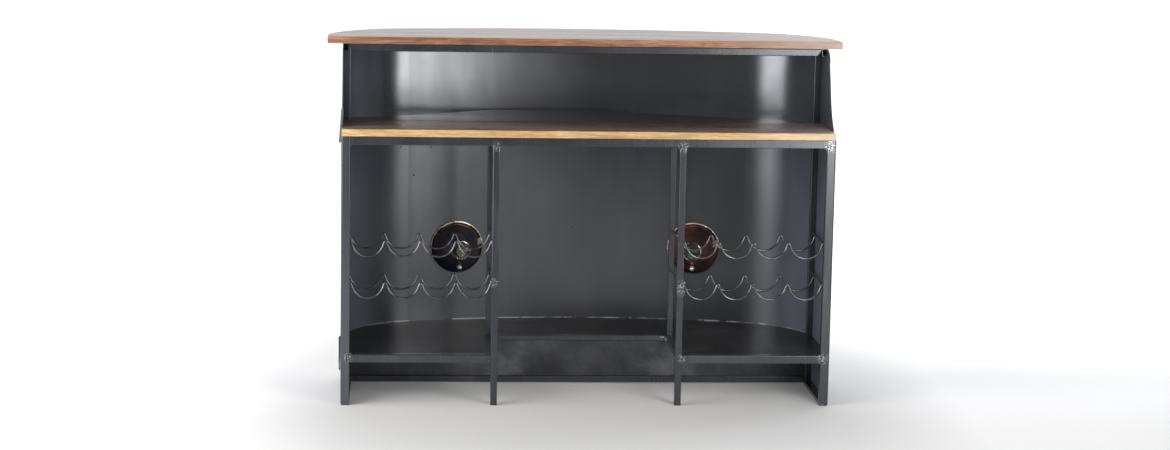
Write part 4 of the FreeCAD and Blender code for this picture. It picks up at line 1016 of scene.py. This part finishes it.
def welds():
    """The frame's weld beads, the tacks along the shelves' seam and the stud ends in the skin."""
    metal = weld_metal()
    for seed, (name, start, end, width) in enumerate(BEADS):
        dressed(weld_bead(name, start, end, width, seed), metal)
    tacks = []
    for x in TACK_PLACES:
        tacks.append(weld_drop("tack", (x, skin_depth(x) - 0.001, TACK_HEIGHT), TACK_SIZE))
    dressed(joined(tacks, "shelf_seam_tacks"), metal)
    studs = []
    for x, z in STUD_PLACES:
        studs.append(weld_drop("stud", (x, skin_depth(x) - 0.0006, z), STUD_SIZE))
    dressed(joined(studs, "skin_studs"), boot_rubber())


# Wing toe and foot plugs
TOE_START = (-0.7456, -0.2985, 0.7980)
TOE_STRIP = (0.002, 0.010, 1)
TOE_WALL = 0.0072
# Aside, back and up from one bend of the toe to the next
TOE_STEPS = (
    (0.0008, 0.0000, 0.0135),
    (0.0014, 0.0327, 0.0208),
    (0.0014, 0.0311, 0.0255),
    (0.0015, 0.0269, 0.0299),
)
RAIL_WALL = 0.0015
PLUG_DEPTH = 0.006
PLUG_BACK = 0.0004
PLUG_RIM = 0.0015
PLUG_DISH = 0.0008


def wing_toe():
    """The edge strip of the left wing, which follows its sweep and starts in a small hook."""
    deselect_all()
    bpy.ops.mesh.primitive_plane_add(size=1)
    strip = bpy.context.active_object
    strip.name = strip.data.name = "left_wing_toe"
    strip.rotation_euler = (0, math.pi / 2, 0)
    strip.scale = TOE_STRIP
    strip.location = TOE_START
    settle(strip)
    select_edges(strip, lambda place: place.z > TOE_START[2])
    for step in TOE_STEPS:
        bpy.ops.mesh.extrude_region_move(TRANSFORM_OT_translate={"value": step})
    bpy.ops.object.mode_set(mode="OBJECT")
    wall = strip.modifiers.new("wall", "SOLIDIFY")
    wall.thickness = TOE_WALL
    wall.offset = 0
    apply_modifiers(strip)
    smooth_below(strip, 40)
    dressed(strip, nodes["left_wing_sheet"].data.materials[0])


def foot_plugs():
    """The plug that closes each foot rail's front mouth."""
    for side in ("left", "right"):
        low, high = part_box(side + "_foot_rail")
        width = high[0] - low[0] - 2 * RAIL_WALL
        height = high[2] - low[2] - 2 * RAIL_WALL
        middle_y = low[1] + PLUG_DEPTH / 2 + PLUG_BACK
        deselect_all()
        bpy.ops.mesh.primitive_cube_add(size=1)
        plug = bpy.context.active_object
        plug.name = plug.data.name = side + "_foot_plug"
        plug.scale = (width, PLUG_DEPTH, height)
        plug.location = ((low[0] + high[0]) / 2, middle_y, (low[2] + high[2]) / 2)
        settle(plug)
        select_faces(plug, lambda face: face.normal.y < -0.9)
        bpy.ops.mesh.inset(thickness=PLUG_RIM)
        bpy.ops.mesh.extrude_region_move(TRANSFORM_OT_translate={"value": (0, PLUG_DISH, 0)})
        bpy.ops.object.mode_set(mode="OBJECT")
        rounded(plug, 0.0006, 2)
        smooth_below(plug, 35)
        dressed(plug, nodes[side + "_foot_rail"].data.materials[0])


camera()
studio()
finish_nodes()
lamp_fittings()
welds()
wing_toe()
foot_plugs()
for plank_node in PLANK_LOOKS:
    worn_plank(plank_node)
